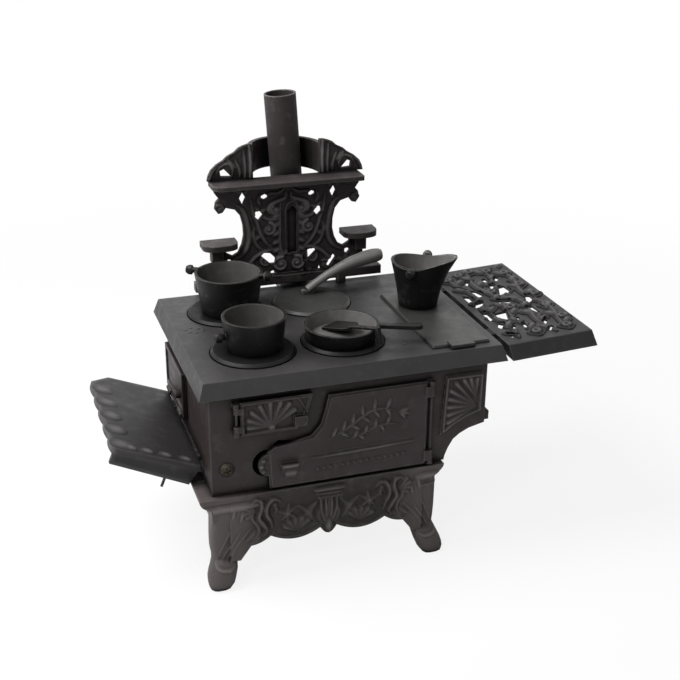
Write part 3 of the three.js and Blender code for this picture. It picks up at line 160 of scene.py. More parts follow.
def larger(tree, first, second):
    return new_node(tree, "ShaderNodeMath", {0: first, 1: second}, operation="MAXIMUM").outputs[0]


def mix_colour(tree, share, first, second):
    node = new_node(tree, "ShaderNodeMix", data_type="RGBA")
    for socket, value in zip((node.inputs[0], node.inputs[6], node.inputs[7]), (share, first, second)):
        if isinstance(value, bpy.types.NodeSocket):
            tree.links.new(value, socket)
        else:
            socket.default_value = value
    return node.outputs[2]


def worn_edges(tree, radius):
    """Where the rounded normal leaves the flat one, a casting's coat has rubbed thin."""
    rounded = new_node(tree, "ShaderNodeBevel", {"Radius": radius}, samples=EDGE_SAMPLES)
    geometry = new_node(tree, "ShaderNodeNewGeometry")
    likeness = new_node(tree, "ShaderNodeVectorMath", {
        0: rounded.outputs["Normal"], 1: geometry.outputs["Normal"]}, operation="DOT_PRODUCT")
    return rounded.outputs["Normal"], between(tree, likeness.outputs["Value"], *EDGE_LIKENESS)


def mark(tree, name):
    """What a mesh says of itself, point by point or face by face; 0 where it says nothing."""
    return new_node(tree, "ShaderNodeAttribute", attribute_name=name).outputs["Fac"]


def painted_crevice_shade(tree, reach):
    """Painted shade: black where other surfaces crowd round a place."""
    node = new_node(tree, "ShaderNodeAmbientOcclusion", {"Distance": reach}, samples=AIR_SAMPLES)
    return between(tree, node.outputs["AO"], *AIR_SHARES)


def towards_ends(tree, place, middle, near, far):
    """Grows from near to far, sideways from a middle, in the range's own millimetres."""
    along = new_node(tree, "ShaderNodeSeparateXYZ", {"Vector": place}).outputs["X"]
    middle_x = at(middle, 0, 0).x
    aside = new_node(tree, "ShaderNodeMath", {0: along, 1: middle_x}, operation="SUBTRACT").outputs[0]
    aside = new_node(tree, "ShaderNodeMath", {0: aside}, operation="ABSOLUTE").outputs[0]
    return between(tree, aside, near * MM, far * MM)


def coat_colour(tree, place, patches, dark, light, worn, patchy, ends):
    """The coat before it is rubbed: mottled, thin in patches, and paler towards the ends."""
    coat = mix_colour(tree, between(tree, noise(tree, place, *BLOTCHES), *MOTTLED), dark, light)
    coat = mix_colour(tree, between(tree, patches, *PATCHED, 0.0, patchy), coat, worn)
    if ends:
        coat = mix_colour(tree, times(tree, towards_ends(tree, place, *ends), END_SHARE), coat, worn)
    return coat


def bumped(tree, heights, depth, strength, normal):
    return new_node(tree, "ShaderNodeBump", {
        "Height": heights, "Distance": depth * MM, "Strength": strength, "Normal": normal}).outputs["Normal"]


def cast_iron(name, dark, light, worn, roughness, grain=1.0, wear=0.5, rounding=0.7, shine=0.36, patchy=0.22,
              bare_share=0.8, ends=None, shade_reach=7):
    """A sand casting under a thin dark coat: mottled, pitted, paler where it is rubbed, with painted shade
    where surfaces crowd round.
    """
    material, tree = new_material(name)
    place = new_node(tree, "ShaderNodeTexCoord").outputs["Object"]
    patches = noise(tree, place, *PATCHES)
    sand = noise(tree, place, *SAND)
    normal, edges = worn_edges(tree, rounding * MM)
    coat = coat_colour(tree, place, patches, dark, light, worn, patchy, ends)
    # Painted shade where other surfaces crowd round and on the ground beside raised ornament, with less shine
    # there
    deep = larger(tree, mark(tree, "hollow_shade"), painted_crevice_shade(tree, shade_reach * MM))
    coat = mix_colour(tree, times(tree, deep, PAINTED_SHADE_SHARE), coat, PAINTED_SHADE)
    speckles = between(tree, sand, *SPECKLED, LEAST_RUBBED, wear)
    rubbed = times(tree, larger(tree, edges, mark(tree, "relief")), speckles)
    bare = times(tree, mark(tree, "inside"),
                 between(tree, patches, *EVENLY, bare_share * LEAST_BARE, bare_share))
    rough = new_node(tree, "ShaderNodeMath", {
        0: between(tree, patches, *EVENLY, roughness + PATCH_ROUGHER, roughness - PATCH_SMOOTHER),
        1: times(tree, rubbed, RUBBED_SMOOTHER)}, operation="ADD").outputs[0]
    dented = bumped(tree, noise(tree, place, *DENTS), DENT_DEPTH, DENT_STRENGTH * grain, normal)
    shader = new_node(tree, "ShaderNodeBsdfPrincipled", {
        "Base Color": mix_colour(tree, larger(tree, rubbed, bare), coat, worn), "Roughness": rough,
        "Normal": bumped(tree, sand, SAND_DEPTH, SAND_STRENGTH * grain, dented), "Metallic": 0.0,
        "Specular IOR Level": between(tree, deep, 0, 1, shine, shine * PAINTED_SHADE_SHINE)})
    new_node(tree, "ShaderNodeOutputMaterial", {"Surface": shader.outputs[0]})
    return material


def dull_steel(name, colour, shade, roughness):
    """Plated steel that has dulled, with fine turning marks and darker spots."""
    material, tree = new_material(name)
    place = new_node(tree, "ShaderNodeTexCoord").outputs["Object"]
    spots = noise(tree, place, *STEEL_SPOTS)
    bump = new_node(tree, "ShaderNodeBump", {
        "Height": noise(tree, place, *STEEL_MARKS), "Distance": STEEL_MARK_DEPTH * MM,
        "Strength": STEEL_MARK_STRENGTH})
    shader = new_node(tree, "ShaderNodeBsdfPrincipled", {
        "Base Color": mix_colour(tree, between(tree, spots, *SPOTTED), colour, shade),
        "Roughness": between(tree, spots, *EVENLY, roughness, roughness + STEEL_SPOT_ROUGHER),
        "Normal": bump.outputs["Normal"], "Metallic": STEEL_METALLIC})
    new_node(tree, "ShaderNodeOutputMaterial", {"Surface": shader.outputs[0]})
    return material


# Each has the dark and light of its coat, the bare metal under it, and its roughness.
# Rounding and shade reach are in millimetres; the shade reach is how far painted shade looks for surfaces
# crowding round.

IRON = cast_iron(
    "range_iron", (0.0165, 0.0108, 0.0113, 1), (0.029, 0.0193, 0.0205, 1), (0.2, 0.178, 0.18, 1), 0.48,
    rounding=1.2, wear=0.75, shine=0.3, patchy=0.12, shade_reach=13)
# A lighter, less shiny copy of the range's iron for the back pieces: painted light in place of the back
# lamp's sheen
LIT_BACK_IRON = cast_iron(
    "lit_back_iron", (0.029, 0.024, 0.0245, 1), (0.05, 0.0415, 0.0425, 1), (0.29, 0.27, 0.27, 1), 0.5,
    rounding=1.2, wear=0.8, shine=0.16, patchy=0.15, shade_reach=9)
BASE_IRON = cast_iron(
    "base_iron", (0.015, 0.0105, 0.01, 1), (0.0255, 0.019, 0.018, 1), (0.2, 0.177, 0.17, 1), 0.45,
    rounding=2.0, wear=0.75, shine=0.25, ends=(LEG_MIDDLE, 42, 60))
TOP_IRON = cast_iron(
    "hob_iron", (0.022, 0.0207, 0.0212, 1), (0.033, 0.031, 0.0315, 1), (0.16, 0.154, 0.154, 1), 0.46,
    patchy=0.1, wear=0.65)
PLATE_IRON = cast_iron(
    "plate_iron", (0.014, 0.0128, 0.013, 1), (0.023, 0.021, 0.0212, 1), (0.17, 0.162, 0.162, 1), 0.5,
    patchy=0.08, wear=0.6, rounding=1.6, shine=0.28)
APRON_IRON = cast_iron(
    "apron_iron", (0.0135, 0.0123, 0.0125, 1), (0.022, 0.02, 0.0202, 1), (0.24, 0.228, 0.228, 1), 0.5,
    patchy=0.08, wear=0.5, rounding=5, shine=0.28)
BLACK_IRON = cast_iron(
    "pot_iron", (0.0035, 0.0032, 0.0032, 1), (0.0075, 0.0068, 0.0066, 1), (0.15, 0.145, 0.14, 1), 0.42,
    grain=0.7, wear=0.9, shine=0.17, bare_share=1)
LID_IRON = cast_iron(
    "lid_iron", (0.026, 0.026, 0.025, 1), (0.039, 0.039, 0.037, 1), (0.13, 0.13, 0.125, 1), 0.44,
    grain=0.8, patchy=0.1, wear=0.3, shade_reach=17)
# A darker copy of the lid iron for the lids under the pots and the skillet: painted shade of the vessels over
# them
SHADED_LID_IRON = cast_iron(
    "shaded_lid_iron", (0.005, 0.005, 0.0049, 1), (0.009, 0.009, 0.0087, 1), (0.13, 0.13, 0.125, 1), 0.44,
    grain=0.8, patchy=0.05, wear=0.4, shine=0.17, shade_reach=17)
TOOL_IRON = cast_iron(
    "tool_iron", (0.125, 0.118, 0.115, 1), (0.19, 0.18, 0.176, 1), (0.34, 0.33, 0.325, 1), 0.38,
    grain=0.7, wear=0.8)
STEEL = dull_steel("fastener_steel", (0.2, 0.175, 0.13, 1), (0.07, 0.06, 0.045, 1), 0.45)
SCREW_STEEL = dull_steel("old_screw_steel", (0.05, 0.043, 0.033, 1), (0.02, 0.018, 0.014, 1), 0.45)
FINISHES = {"iron": IRON, "black_iron": BLACK_IRON, "steel": STEEL}
# Own finishes, among them the copies with painted light for the back and painted shade for the lids under the
# vessels
OWN_FINISHES_AND_PAINTED_LIGHT = {
    "front_base": BASE_IRON, "rear_base": BASE_IRON, "left_base_rail": BASE_IRON,
    "right_base_rail": BASE_IRON, "hob": TOP_IRON, "hearth_apron": APRON_IRON, "side_shelf": PLATE_IRON,
    "lid_lifter": TOOL_IRON, "splash_plate": LIT_BACK_IRON, "crest": LIT_BACK_IRON, "warming_shelf": LIT_BACK_IRON,
    "stove_pipe": LIT_BACK_IRON, "lid_front_left": SHADED_LID_IRON, "lid_front_centre": SHADED_LID_IRON,
    "lid_rear_left": SHADED_LID_IRON, "lid_rear_centre": LID_IRON, "reservoir_lid": LID_IRON,
    "tie_bolt": SCREW_STEEL,
}


def finish_of(node):
    return OWN_FINISHES_AND_PAINTED_LIGHT.get(node, FINISHES[slots[node]])


def finish_nodes():
    """Every casting, pot and fastener gets its own finish, some of them copies with painted light or shade,
    or else that of its slot in the record.
    """
    for name, node in nodes.items():
        node.data.materials.clear()
        node.data.materials.append(finish_of(name))


# Strokes of ornament: a centre line, and its half width and height at each point, in millimetres


CURVE_STEPS = 7
LEAF_POINTS = 9
SPIKE_POINTS = 7
PETAL_POINTS = 8
SCROLL_POINTS = 26
RING_POINTS = 13

# A line narrows over this share of its length at each end, and keeps this share of its height there
TAPER = 0.25
RIDGE_END_HEIGHT = 0.4

# The part of a sine wave that a leaf's outline follows, how full it is, and its height at the ends
LEAF_SPAN = 0.92
LEAF_START = 0.06
LEAF_FULLNESS = 0.7
LEAF_END_HEIGHT = 0.35

# What a spike loses towards its tip, a petal starts with at its root, and a scroll loses towards its middle
SPIKE_NARROWS = 0.88
SPIKE_LOWERS = 0.5
PETAL_ROOT_WIDTH = 0.3
PETAL_ROOT_HEIGHT = 0.45
SCROLL_WINDS_IN = 0.8
SCROLL_NARROWS = 0.45
SCROLL_LOWERS = 0.25
SCROLL_BEAD = 1.15
BEAD_LENGTH = 0.1


def smooth_curve(points, steps=CURVE_STEPS):
    """A curve through all the points."""
    p = np.array(points, float)
    if len(p) == 2:
        return np.linspace(p[0], p[1], steps + 1)
    p = np.vstack([2 * p[0] - p[1], p, 2 * p[-1] - p[-2]])
    spans = []
    for a, b, c, d in zip(p, p[1:], p[2:], p[3:]):
        t = np.linspace(0, 1, steps, endpoint=False)[:, None]
        spans.append(0.5 * (2 * b + (c - a) * t + (2 * a - 5 * b + 4 * c - d) * t ** 2
                            + (3 * b - a - 3 * c + d) * t ** 3))
    return np.vstack(spans + [p[-2][None]])


def ridge(points, width, height, start=0.4, end=0.4):
    """A raised line whose ends narrow to the given shares of its width."""
    curve = smooth_curve(points)
    t = np.linspace(0, 1, len(curve))
    from_start = start + (1 - start) * t / TAPER
    from_end = end + (1 - end) * (1 - t) / TAPER
    narrow = np.minimum(np.minimum(from_start, from_end), 1)
    return curve, width * narrow, height * (RIDGE_END_HEIGHT + (1 - RIDGE_END_HEIGHT) * narrow)


def leaf(root, tip, width, height, bend=0.0):
    """A pointed leaf from root to tip, bent sideways by a share of its length."""
    root, tip = np.array(root, float), np.array(tip, float)
    along = tip - root
    middle = (root + tip) / 2 + np.array([-along[1], along[0]]) * bend
    t = np.linspace(0, 1, LEAF_POINTS)[:, None]
    curve = root * (1 - t) ** 2 + 2 * middle * t * (1 - t) + tip * t ** 2
    swell = np.sin(math.pi * np.clip(t[:, 0] * LEAF_SPAN + LEAF_START, 0, 1)) ** LEAF_FULLNESS
    return curve, width * swell, height * (LEAF_END_HEIGHT + (1 - LEAF_END_HEIGHT) * swell)


def spike(root, tip, width, height):
    """A straight arm, broad at its root."""
    t = np.linspace(0, 1, SPIKE_POINTS)
    curve = np.array(root) * (1 - t[:, None]) + np.array(tip) * t[:, None]
    return curve, width * (1 - SPIKE_NARROWS * t), height * (1 - SPIKE_LOWERS * t)


def petal(root, tip, width, height):
    """A lobe, narrow at its root and round at its tip."""
    t = np.linspace(0, 1, PETAL_POINTS)
    curve = np.array(root) * (1 - t[:, None]) + np.array(tip) * t[:, None]
    widths = width * (PETAL_ROOT_WIDTH + (1 - PETAL_ROOT_WIDTH) * t)
    return curve, widths, height * (PETAL_ROOT_HEIGHT + (1 - PETAL_ROOT_HEIGHT) * t)


def bead(centre, radius, height):
    """A round lump: a stroke with hardly any length."""
    u, v = centre
    reach = radius * BEAD_LENGTH
    return np.array([[u - reach, v], [u + reach, v]]), np.full(2, radius), np.full(2, height)


def fan(root, tips, width, height, bend=0.0):
    return [leaf(root, tip, width, height, bend) for tip in tips]


def star(root, tips, width, height):
    return [spike(root, tip, width, height) for tip in tips]


def shell(root, tips, width, height):
    return [petal(root, tip, width, height) for tip in tips]


def scroll(centre, radius, turns, start, hand, width, height):
    """A line that winds in to a bead."""
    t = np.linspace(0, 1, SCROLL_POINTS)
    angle = math.radians(start) + hand * 2 * math.pi * turns * t
    reach = radius * (1 - SCROLL_WINDS_IN * t)
    curve = np.stack([centre[0] + reach * np.cos(angle), centre[1] + reach * np.sin(angle)], 1)
    line = (curve, width * (1 - SCROLL_NARROWS * t), height * (1 - SCROLL_LOWERS * t))
    return [line, bead(centre, width * SCROLL_BEAD, height)]


def ring(centre, radius, width, height):
    angles = np.linspace(0, 2 * math.pi, RING_POINTS)
    curve = np.stack([centre[0] + radius * np.cos(angles), centre[1] + radius * np.sin(angles)], 1)
    return curve, np.full(RING_POINTS, width), np.full(RING_POINTS, height)


def shifted(strokes, along):
    return [(curve + np.array([along, 0]), widths, heights) for curve, widths, heights in strokes]


def bolder(strokes, width_share, height_share):
    return [(curve, widths * width_share, heights * height_share) for curve, widths, heights in strokes]


def mirrored(strokes, about):
    """The strokes, drawn from a middle line at u = 0, on both sides of u = about."""
    both = []
    for curve, widths, heights in strokes:
        both.append((curve + np.array([about, 0]), widths, heights))
        both.append((curve * np.array([-1, 1]) + np.array([about, 0]), widths, heights))
    return both


ROUND_TOP = 0.7
LEAST_LENGTH = 1e-9
OWN_SHARE = 0.5


def raise_span(field, us, vs, ends, widths, heights):
    """Raises the grid under one straight span of a stroke."""
    a, b = ends
    pad = max(widths)
    low, high = np.minimum(a, b) - pad, np.maximum(a, b) + pad
    i0, i1 = np.searchsorted(us, (low[0], high[0]))
    j0, j1 = np.searchsorted(vs, (low[1], high[1]))
    if i0 == i1 or j0 == j1:
        return
    u, v = np.meshgrid(us[i0:i1] - a[0], vs[j0:j1] - a[1])
    d = b - a
    t = np.clip((u * d[0] + v * d[1]) / max(d @ d, LEAST_LENGTH), 0, 1)
    aside = np.hypot(u - d[0] * t, v - d[1] * t)
    width = widths[0] + (widths[1] - widths[0]) * t
    height = heights[0] + (heights[1] - heights[0]) * t
    window = field[j0:j1, i0:i1]
    np.maximum(window, height * np.clip(1 - (aside / width) ** 2, 0, 1) ** ROUND_TOP, out=window)


def heights_on(us, vs, strokes):
    """The height of the ornament on a grid: the highest of all strokes there."""
    field = np.zeros((len(vs), len(us)))
    for curve, widths, heights in strokes:
        for i in range(len(curve) - 1):
            raise_span(field, us, vs, curve[i:i + 2], widths[i:i + 2], heights[i:i + 2])
    return field


def neighbours(field, mode="constant"):
    """The grid's values one cell up, down, left and right."""
    padded = np.pad(field, 1, mode=mode)
    return padded[:-2, 1:-1], padded[2:, 1:-1], padded[1:-1, :-2], padded[1:-1, 2:]


def softened(field):
    """Each height drawn a little towards its neighbours, as sand casting leaves it."""
    above, below, left, right = neighbours(field, "edge")
    return field * OWN_SHARE + (above + below + left + right) * ((1 - OWN_SHARE) / 4)


def spread(field, cells):
    """The field with each height spread to its surroundings, fading to nothing over some cells."""
    for step in range(cells):
        field = np.maximum(field, np.maximum.reduce(neighbours(field)) - 1 / cells)
    return softened(field)


def from_openings(solid, cells):
    """How far into the solid each cell lies from the nearest opening, as a share of some cells."""
    depth = np.zeros(solid.shape)
    for step in range(cells):
        solid = np.logical_and.reduce((solid, *neighbours(solid)))
        depth += solid
    return depth / cells


# Ornament on a casting: the grid is dropped onto the casting's own surface along one direction

FRONT = (Vector((1, 0, 0)), Vector((0, 0, 1)), Vector((0, 1, 0)))
TOP = (Vector((1, 0, 0)), Vector((0, 1, 0)), Vector((0, 0, -1)))

# How far a rim sinks into the casting, and the ground between strokes stands off it
SINK = 0.12
GROUND = 0.06
RIM_STEEPNESS = 8

# How far a stroke's painted shade reaches on the ground beside it, and a swell rounds off towards an opening
HOLLOW_REACH = 1.8
SWELL_REACH = 2.4

# The step in depth that no face spans, how far out the rays start, and how squarely they meet the casting
EDGE_JUMP = 1.6
RAY_START = 300
LEAST_FACING = 0.15

# Where the grid ends, how dark the painted shade on the ground is by strokes and openings, and how rubbed the
# high parts are
LEAST_CROWD = 0.01
HOLLOW_CROWD = 1.8
HOLLOW_HEIGHT = 2.6
OPENING_DARK = 1.5
RUBBED_POWER = 3.5


def mesh_piece(name, node, vertices, faces, marks=None):
    """A smooth mesh that rides on a node's body and has the node's finish."""
    body = body_of(node)
    mesh = bpy.data.meshes.new(name)
    mesh.from_pydata([tuple(v) for v in vertices], [], [tuple(f) for f in faces])
    mesh.update()
    for polygon in mesh.polygons:
        polygon.use_smooth = True
    for mark_name, values in (marks or {}).items():
        attribute = mesh.attributes.new(mark_name, "FLOAT", "POINT")
        attribute.data.foreach_set("value", np.array(values, np.float32))
    mesh.materials.append(finish_of(node))
    piece = bpy.data.objects.new(name, mesh)
    bpy.context.scene.collection.objects.link(piece)
    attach(piece, body)
    return piece


def grid_under(strokes, reach, cell):
    """Grid lines that hold all strokes and what they reach."""
    points = np.vstack([curve for curve, widths, heights in strokes])
    margin = max(widths.max() for curve, widths, heights in strokes) + reach
    us = np.arange(points[:, 0].min() - margin, points[:, 0].max() + margin, cell)
    vs = np.arange(points[:, 1].min() - margin, points[:, 1].max() + margin, cell)
    return us, vs


def dropped(node, axes, us, vs, wanted):
    """Where the wanted points of the grid meet the node's surface, and how far from their start."""
    across, up, inwards = axes
    mesh = nodes[node].data
    tree = BVHTree.FromPolygons([v.co for v in mesh.vertices], [p.vertices for p in mesh.polygons])
    hits, depths = {}, {}
    for j, i in zip(*np.nonzero(wanted)):
        start = origin + (across * us[i] + up * vs[j] - inwards * RAY_START) * MM
        hit, normal, face, distance = tree.ray_cast(start, inwards)
        if hit is not None and abs(normal.dot(inwards)) >= LEAST_FACING:
            hits[j, i] = hit
            depths[j, i] = distance / MM
    return hits, depths


def faces_over(places, depths, jump, axes):
    """A face for each cell of the grid whose four corners met the surface with no step between them."""
    across, up, inwards = axes
    keeps_order = across.cross(up).dot(inwards) < 0
    faces = []
    for j, i in places:
        corners = ((j, i), (j, i + 1), (j + 1, i + 1), (j + 1, i))
        if not all(corner in places for corner in corners):
            continue
        deep = [depths[corner] for corner in corners]
        if max(deep) - min(deep) < jump:
            face = [places[corner] for corner in corners]
            faces.append(face if keeps_order else face[::-1])
    return faces


def ornament(name, node, axes, strokes, cell=0.5, jump=EDGE_JUMP, reach=HOLLOW_REACH, swell=0):
    """Raises the strokes on a node, seen along the axes' third direction, and rides them on its body.
    A swell rounds the casting up to that height between its openings."""
    us, vs = grid_under(strokes, reach, cell)
    field = softened(heights_on(us, vs, strokes))
    highest = field.max()
    crowd = spread(field / highest, round(reach / cell))
    # Painted shade on the ground beside the strokes
    hollow_shade = np.clip(crowd * HOLLOW_CROWD - field / highest * HOLLOW_HEIGHT, 0, 1)
    lift = GROUND - (GROUND + SINK) * np.clip(1 - crowd * RIM_STEEPNESS, 0, 1)
    hits, depths = dropped(node, axes, us, vs, crowd > LEAST_CROWD)
    if swell:
        solid = np.zeros(field.shape, bool)
        for cell_met in hits:
            solid[cell_met] = True
        inner = from_openings(solid, round(SWELL_REACH / cell))
        field = field + swell * np.sqrt(1 - (1 - inner) ** 2)
        # Painted shade also darkens the casting towards its openings
        hollow_shade = np.maximum(hollow_shade * inner, 1 - inner * OPENING_DARK)
    vertices = [hit - axes[2] * (field[met] + lift[met]) * MM for met, hit in hits.items()]
    relief = [min(field[met] / (highest + swell), 1) ** RUBBED_POWER for met in hits]
    dark = [max(hollow_shade[met], 0) for met in hits]
    places = {met: index for index, met in enumerate(hits)}
    faces = faces_over(places, depths, jump, axes)
    mesh_piece(name, node, vertices, faces, {"relief": relief, "hollow_shade": dark})


# Round castings: the node's own surface, shaded round where its faces meet softly

# Points nearer than this, in millimetres, are one
WELD = 0.01

# Faces that meet at a sharper turn than this, in degrees, keep a crisp edge
CRISP_CORNER = 30
CORNER = 38
SOFT_CORNER = 44

# How level and how low above the hob a vessel's floor is, and how squarely its inner wall looks at the axis
INSIDE_LEVEL = 0.75
INSIDE_FLOOR = 4
INSIDE_TURN = -0.3
COOKING_TOP = 151

SOFT_NODES = ("front_base", "rear_base", "stove_pipe", "lid_lifter", "turner", "oven_door_pin")
LIDS = ("lid_front_left", "lid_front_centre", "lid_rear_left", "lid_rear_centre")

# Each vessel's axis in X and Y, and how bare it is inside
VESSELS = {
    "rear_pot": (-55.6, 31.5, 0.6),
    "front_pot": (-55.3, -33, 0.6),
    "skillet": (1, -35.5, 0.85),
    "coal_scuttle": (70, 6, 1.0),
}


def welded(mesh):
    """A mesh's points and faces, with points at one place made one."""
    keys = {}
    remap = []
    for vertex in mesh.vertices:
        key = tuple(round(c / (WELD * MM)) for c in vertex.co)
        remap.append(keys.setdefault(key, len(keys)))
    points = [None] * len(keys)
    for vertex, index in zip(mesh.vertices, remap):
        points[index] = vertex.co.copy()
    faces = [[remap[v] for v in polygon.vertices] for polygon in mesh.polygons]
    return points, [face for face in faces if len(set(face)) == len(face)]


def smooth_copy(node, corner=CORNER, inside=None):
    """Replaces a node by its own surface with shared corners, so that light runs round it."""
    points, faces = welded(nodes[node].data)
    piece = mesh_piece(node + "_casting", node, points, faces)
    piece.data.set_sharp_from_angle(angle=math.radians(corner))
    if inside:
        values = [inside(polygon) for polygon in piece.data.polygons]
        piece.data.attributes.new("inside", "FLOAT", "FACE").data.foreach_set("value", values)
    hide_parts(node)


def inside_of(x, y, share):
    """Tells the faces that look at a vessel's axis, or up from its floor, from the outer ones."""
    middle = at(x, y, COOKING_TOP)

    def inside(polygon):
        away = polygon.center - middle
        if polygon.normal.z > INSIDE_LEVEL and away.z < INSIDE_FLOOR * MM:
            return share
        flat = Vector((away.x, away.y, 0)).normalized()
        return share if polygon.normal.dot(flat) < INSIDE_TURN else 0.0
    return inside


def round_castings():
    for node in SOFT_NODES:
        smooth_copy(node, SOFT_CORNER)
    for node in LIDS:
        smooth_copy(node, CRISP_CORNER)
    for node, axis_and_share in VESSELS.items():
        smooth_copy(node, CORNER, inside_of(*axis_and_share))


# Front base: skirt and legs


def capital_half():
    """Three steps over a fluted bracket, from its middle outwards."""
    return [
        ridge([(0, 64.6), (9.4, 64.6)], 1.6, 2.2, 1, 0.8),
        ridge([(0, 61.2), (7.8, 61.2)], 1.3, 1.9, 1, 0.8),
        ridge([(0, 58.2), (6.6, 58.2)], 1.2, 1.6, 1, 0.8),
        ridge([(5.2, 56.4), (5.0, 50), (3.4, 43.6), (1.8, 40)], 1.3, 1.9, 0.8, 0.6),
        ridge([(2.0, 56.4), (1.9, 50), (1.4, 43.6)], 1.2, 2.1, 0.8, 0.6),
        leaf((5.4, 52.4), (3.6, 38.6), 1.5, 1.5, 0.34),
    ]


def skirt_half():
    """Leafwork from the middle of the skirt outwards."""
    strokes = capital_half()
    strokes += star((13.4, 49.4), [(7.9, 55.4), (20.2, 54.8), (9.4, 41.3), (16, 45.8)], 3.0, 1.9)
    shell_tips = [(13.9, 43.4), (17.6, 45.6), (22.2, 45.8), (26.4, 44.4), (29.4, 41.4)]
    star_tips = [(26, 57.4), (20.6, 55), (34.2, 53.2), (22, 46.8), (31, 46.4), (27.6, 44.2)]
    strokes += shell((21.4, 36.6), shell_tips, 2.2, 1.9)
    strokes += star((27.4, 51), star_tips, 2.1, 1.9)
    strokes += [
        bead((27.4, 51), 1.9, 2.2),
        ridge([(31.7, 59.5), (34.2, 62.4), (38, 62.2), (40.6, 58), (41, 52.4), (38.6, 47.6), (37.4, 42.4)],
              1.7, 2.1),
        ridge([(36.4, 57.6), (34.4, 55.4), (35.6, 52.4)], 1.4, 1.7),
        bead((35.6, 59), 1.5, 1.9),
        ridge([(51.6, 61.5), (47.6, 64.2), (44.4, 62.2), (44.2, 57),
               (46, 51), (43.2, 46), (40.8, 41), (43.2, 37)], 1.7, 2.1),
        ridge([(49.6, 56.4), (50, 50.6), (46.8, 45.4), (46.2, 40.4), (49.6, 35.6)], 1.5, 1.8),
        leaf((48.4, 41.6), (55, 35.4), 1.8, 1.6, -0.2),
        leaf((44.4, 38.6), (51.6, 32.8), 1.7, 1.5, -0.2),
    ]
    strokes += shell((47.8, 55.6), [(52.6, 62), (55, 59), (55.4, 55.4), (53.4, 52.2)], 1.7, 1.9)
    strokes += [
        ridge([(5.4, 37.8), (10.5, 35.4), (16, 33.4), (22, 32.9), (29, 33.4), (34, 35.6), (37.4, 38)],
              0.9, 1.0),
        ridge([(39, 37.6), (41, 35.6), (45, 33.4), (50, 32.6)], 0.9, 1.0),
    ]
    return strokes


def carve_skirt():
    drop = [leaf((0, 43), (0, 31.4), 3.0, 2.4), ridge([(0, 56.4), (0, 43)], 1.0, 1.4)]
    strokes = mirrored(skirt_half(), LEG_MIDDLE) + shifted(drop, LEG_MIDDLE)
    ornament("skirt_leafwork", "front_base", FRONT, strokes, 0.4, reach=4)


def leg_half():
    """Flutes from the knee to a collar at the ankle, from the middle between the legs outwards."""
    return [
        ridge([(60.4, 62), (61.6, 56.6), (62.4, 52)], 1.7, 1.6, 0.3, 0.3),
        ridge([(55.6, 59), (56.6, 53.6), (57.9, 48.6)], 1.6, 1.5, 0.3, 0.3),
        ridge([(50.4, 45.2), (54, 40.6), (59.4, 34), (64.4, 26), (67.4, 20.4)], 1.2, 1.3, 0.4, 0.4),
        ridge([(56.6, 44.6), (60.6, 37.6), (66.4, 28.4), (70, 21)], 1.2, 1.3, 0.3, 0.4),
        ridge([(63, 46), (66.4, 38), (70.6, 28.4), (73, 22)], 1.2, 1.2, 0.2, 0.3),
        ridge([(79, 27), (76, 22.5), (72.4, 18.8), (66, 17.6), (61.6, 19.6)], 1.7, 1.5, 0.5, 0.5),
    ]


LEG_JUMP = 3


def carve_legs():
    flutes = mirrored(bolder(leg_half(), 0.8, 0.6), LEG_MIDDLE)
    ornament("leg_flutes", "front_base", FRONT, flutes, 0.45, jump=LEG_JUMP)


def round_rail():
    """The base's rail swells to a round nose at its left and over the right leg."""
    left = [ridge([(-104.5, 61), (-62, 61)], 3.8, 1.9, 0.9, 0.3)]
    right = [
        ridge([(40.5, 61.6), (58.4, 61.6)], 3.4, 1.9, 0.6, 0.6),
        ridge([(42, 54.6), (57.6, 54.6)], 1.3, 1.1, 0.6, 0.6),
    ]
    ornament("rail_nose_left", "front_base", FRONT, left, 0.45, jump=LEG_JUMP)
    ornament("rail_nose_right", "front_base", FRONT, right, 0.45, jump=LEG_JUMP)


# Doors and panels of the front


def carve_draft_door():
    """Thick rays round a shell's foot, inside a raised frame."""
    root = (-55.6, 113)
    tips = [(-70.2, 114.4), (-70, 119.4), (-68, 124.4), (-62.8, 128),
            (-56.4, 129.2), (-50, 128.6), (-44.4, 127), (-41.2, 122.4)]
    strokes = shell(root, tips, 2.1, 1.3)
    strokes.append(bead(root, 2.6, 1.4))
    frame_line = [(-73.8, 111), (-73.8, 130.8), (-38.6, 130.8), (-31.8, 117.2), (-36.4, 111), (-73.8, 111)]
    strokes += [ridge([a, b], 0.9, 0.9, 1, 1) for a, b in zip(frame_line, frame_line[1:])]
    ornament("draft_door_rays", "draft_door", FRONT, strokes, 0.35)


def carve_sunburst():
    """Rays from a lower corner, inside a raised border."""
    root = (81.4, 106.4)
    tips = [(61.6, 97), (61.4, 102.4), (61.4, 108), (61.8, 113.6), (62.6, 119.4), (66, 124.2)]
    strokes = shell(root, tips, 2.0, 1.4)
    strokes += shell((80.4, 112), [(71.4, 125.6), (76, 126), (80.6, 125.4)], 1.9, 1.4)
    border = [(60.2, 128.2), (58.4, 90.8), (66.2, 96.4), (75.2, 100.6),
              (83.4, 103.2), (83.8, 128), (60.2, 128.2)]
    strokes += [ridge([a, b], 1.0, 1.3, 1, 1) for a, b in zip(border, border[1:])]
    ornament("sunburst_rays", "front_panel", FRONT, strokes, 0.4)


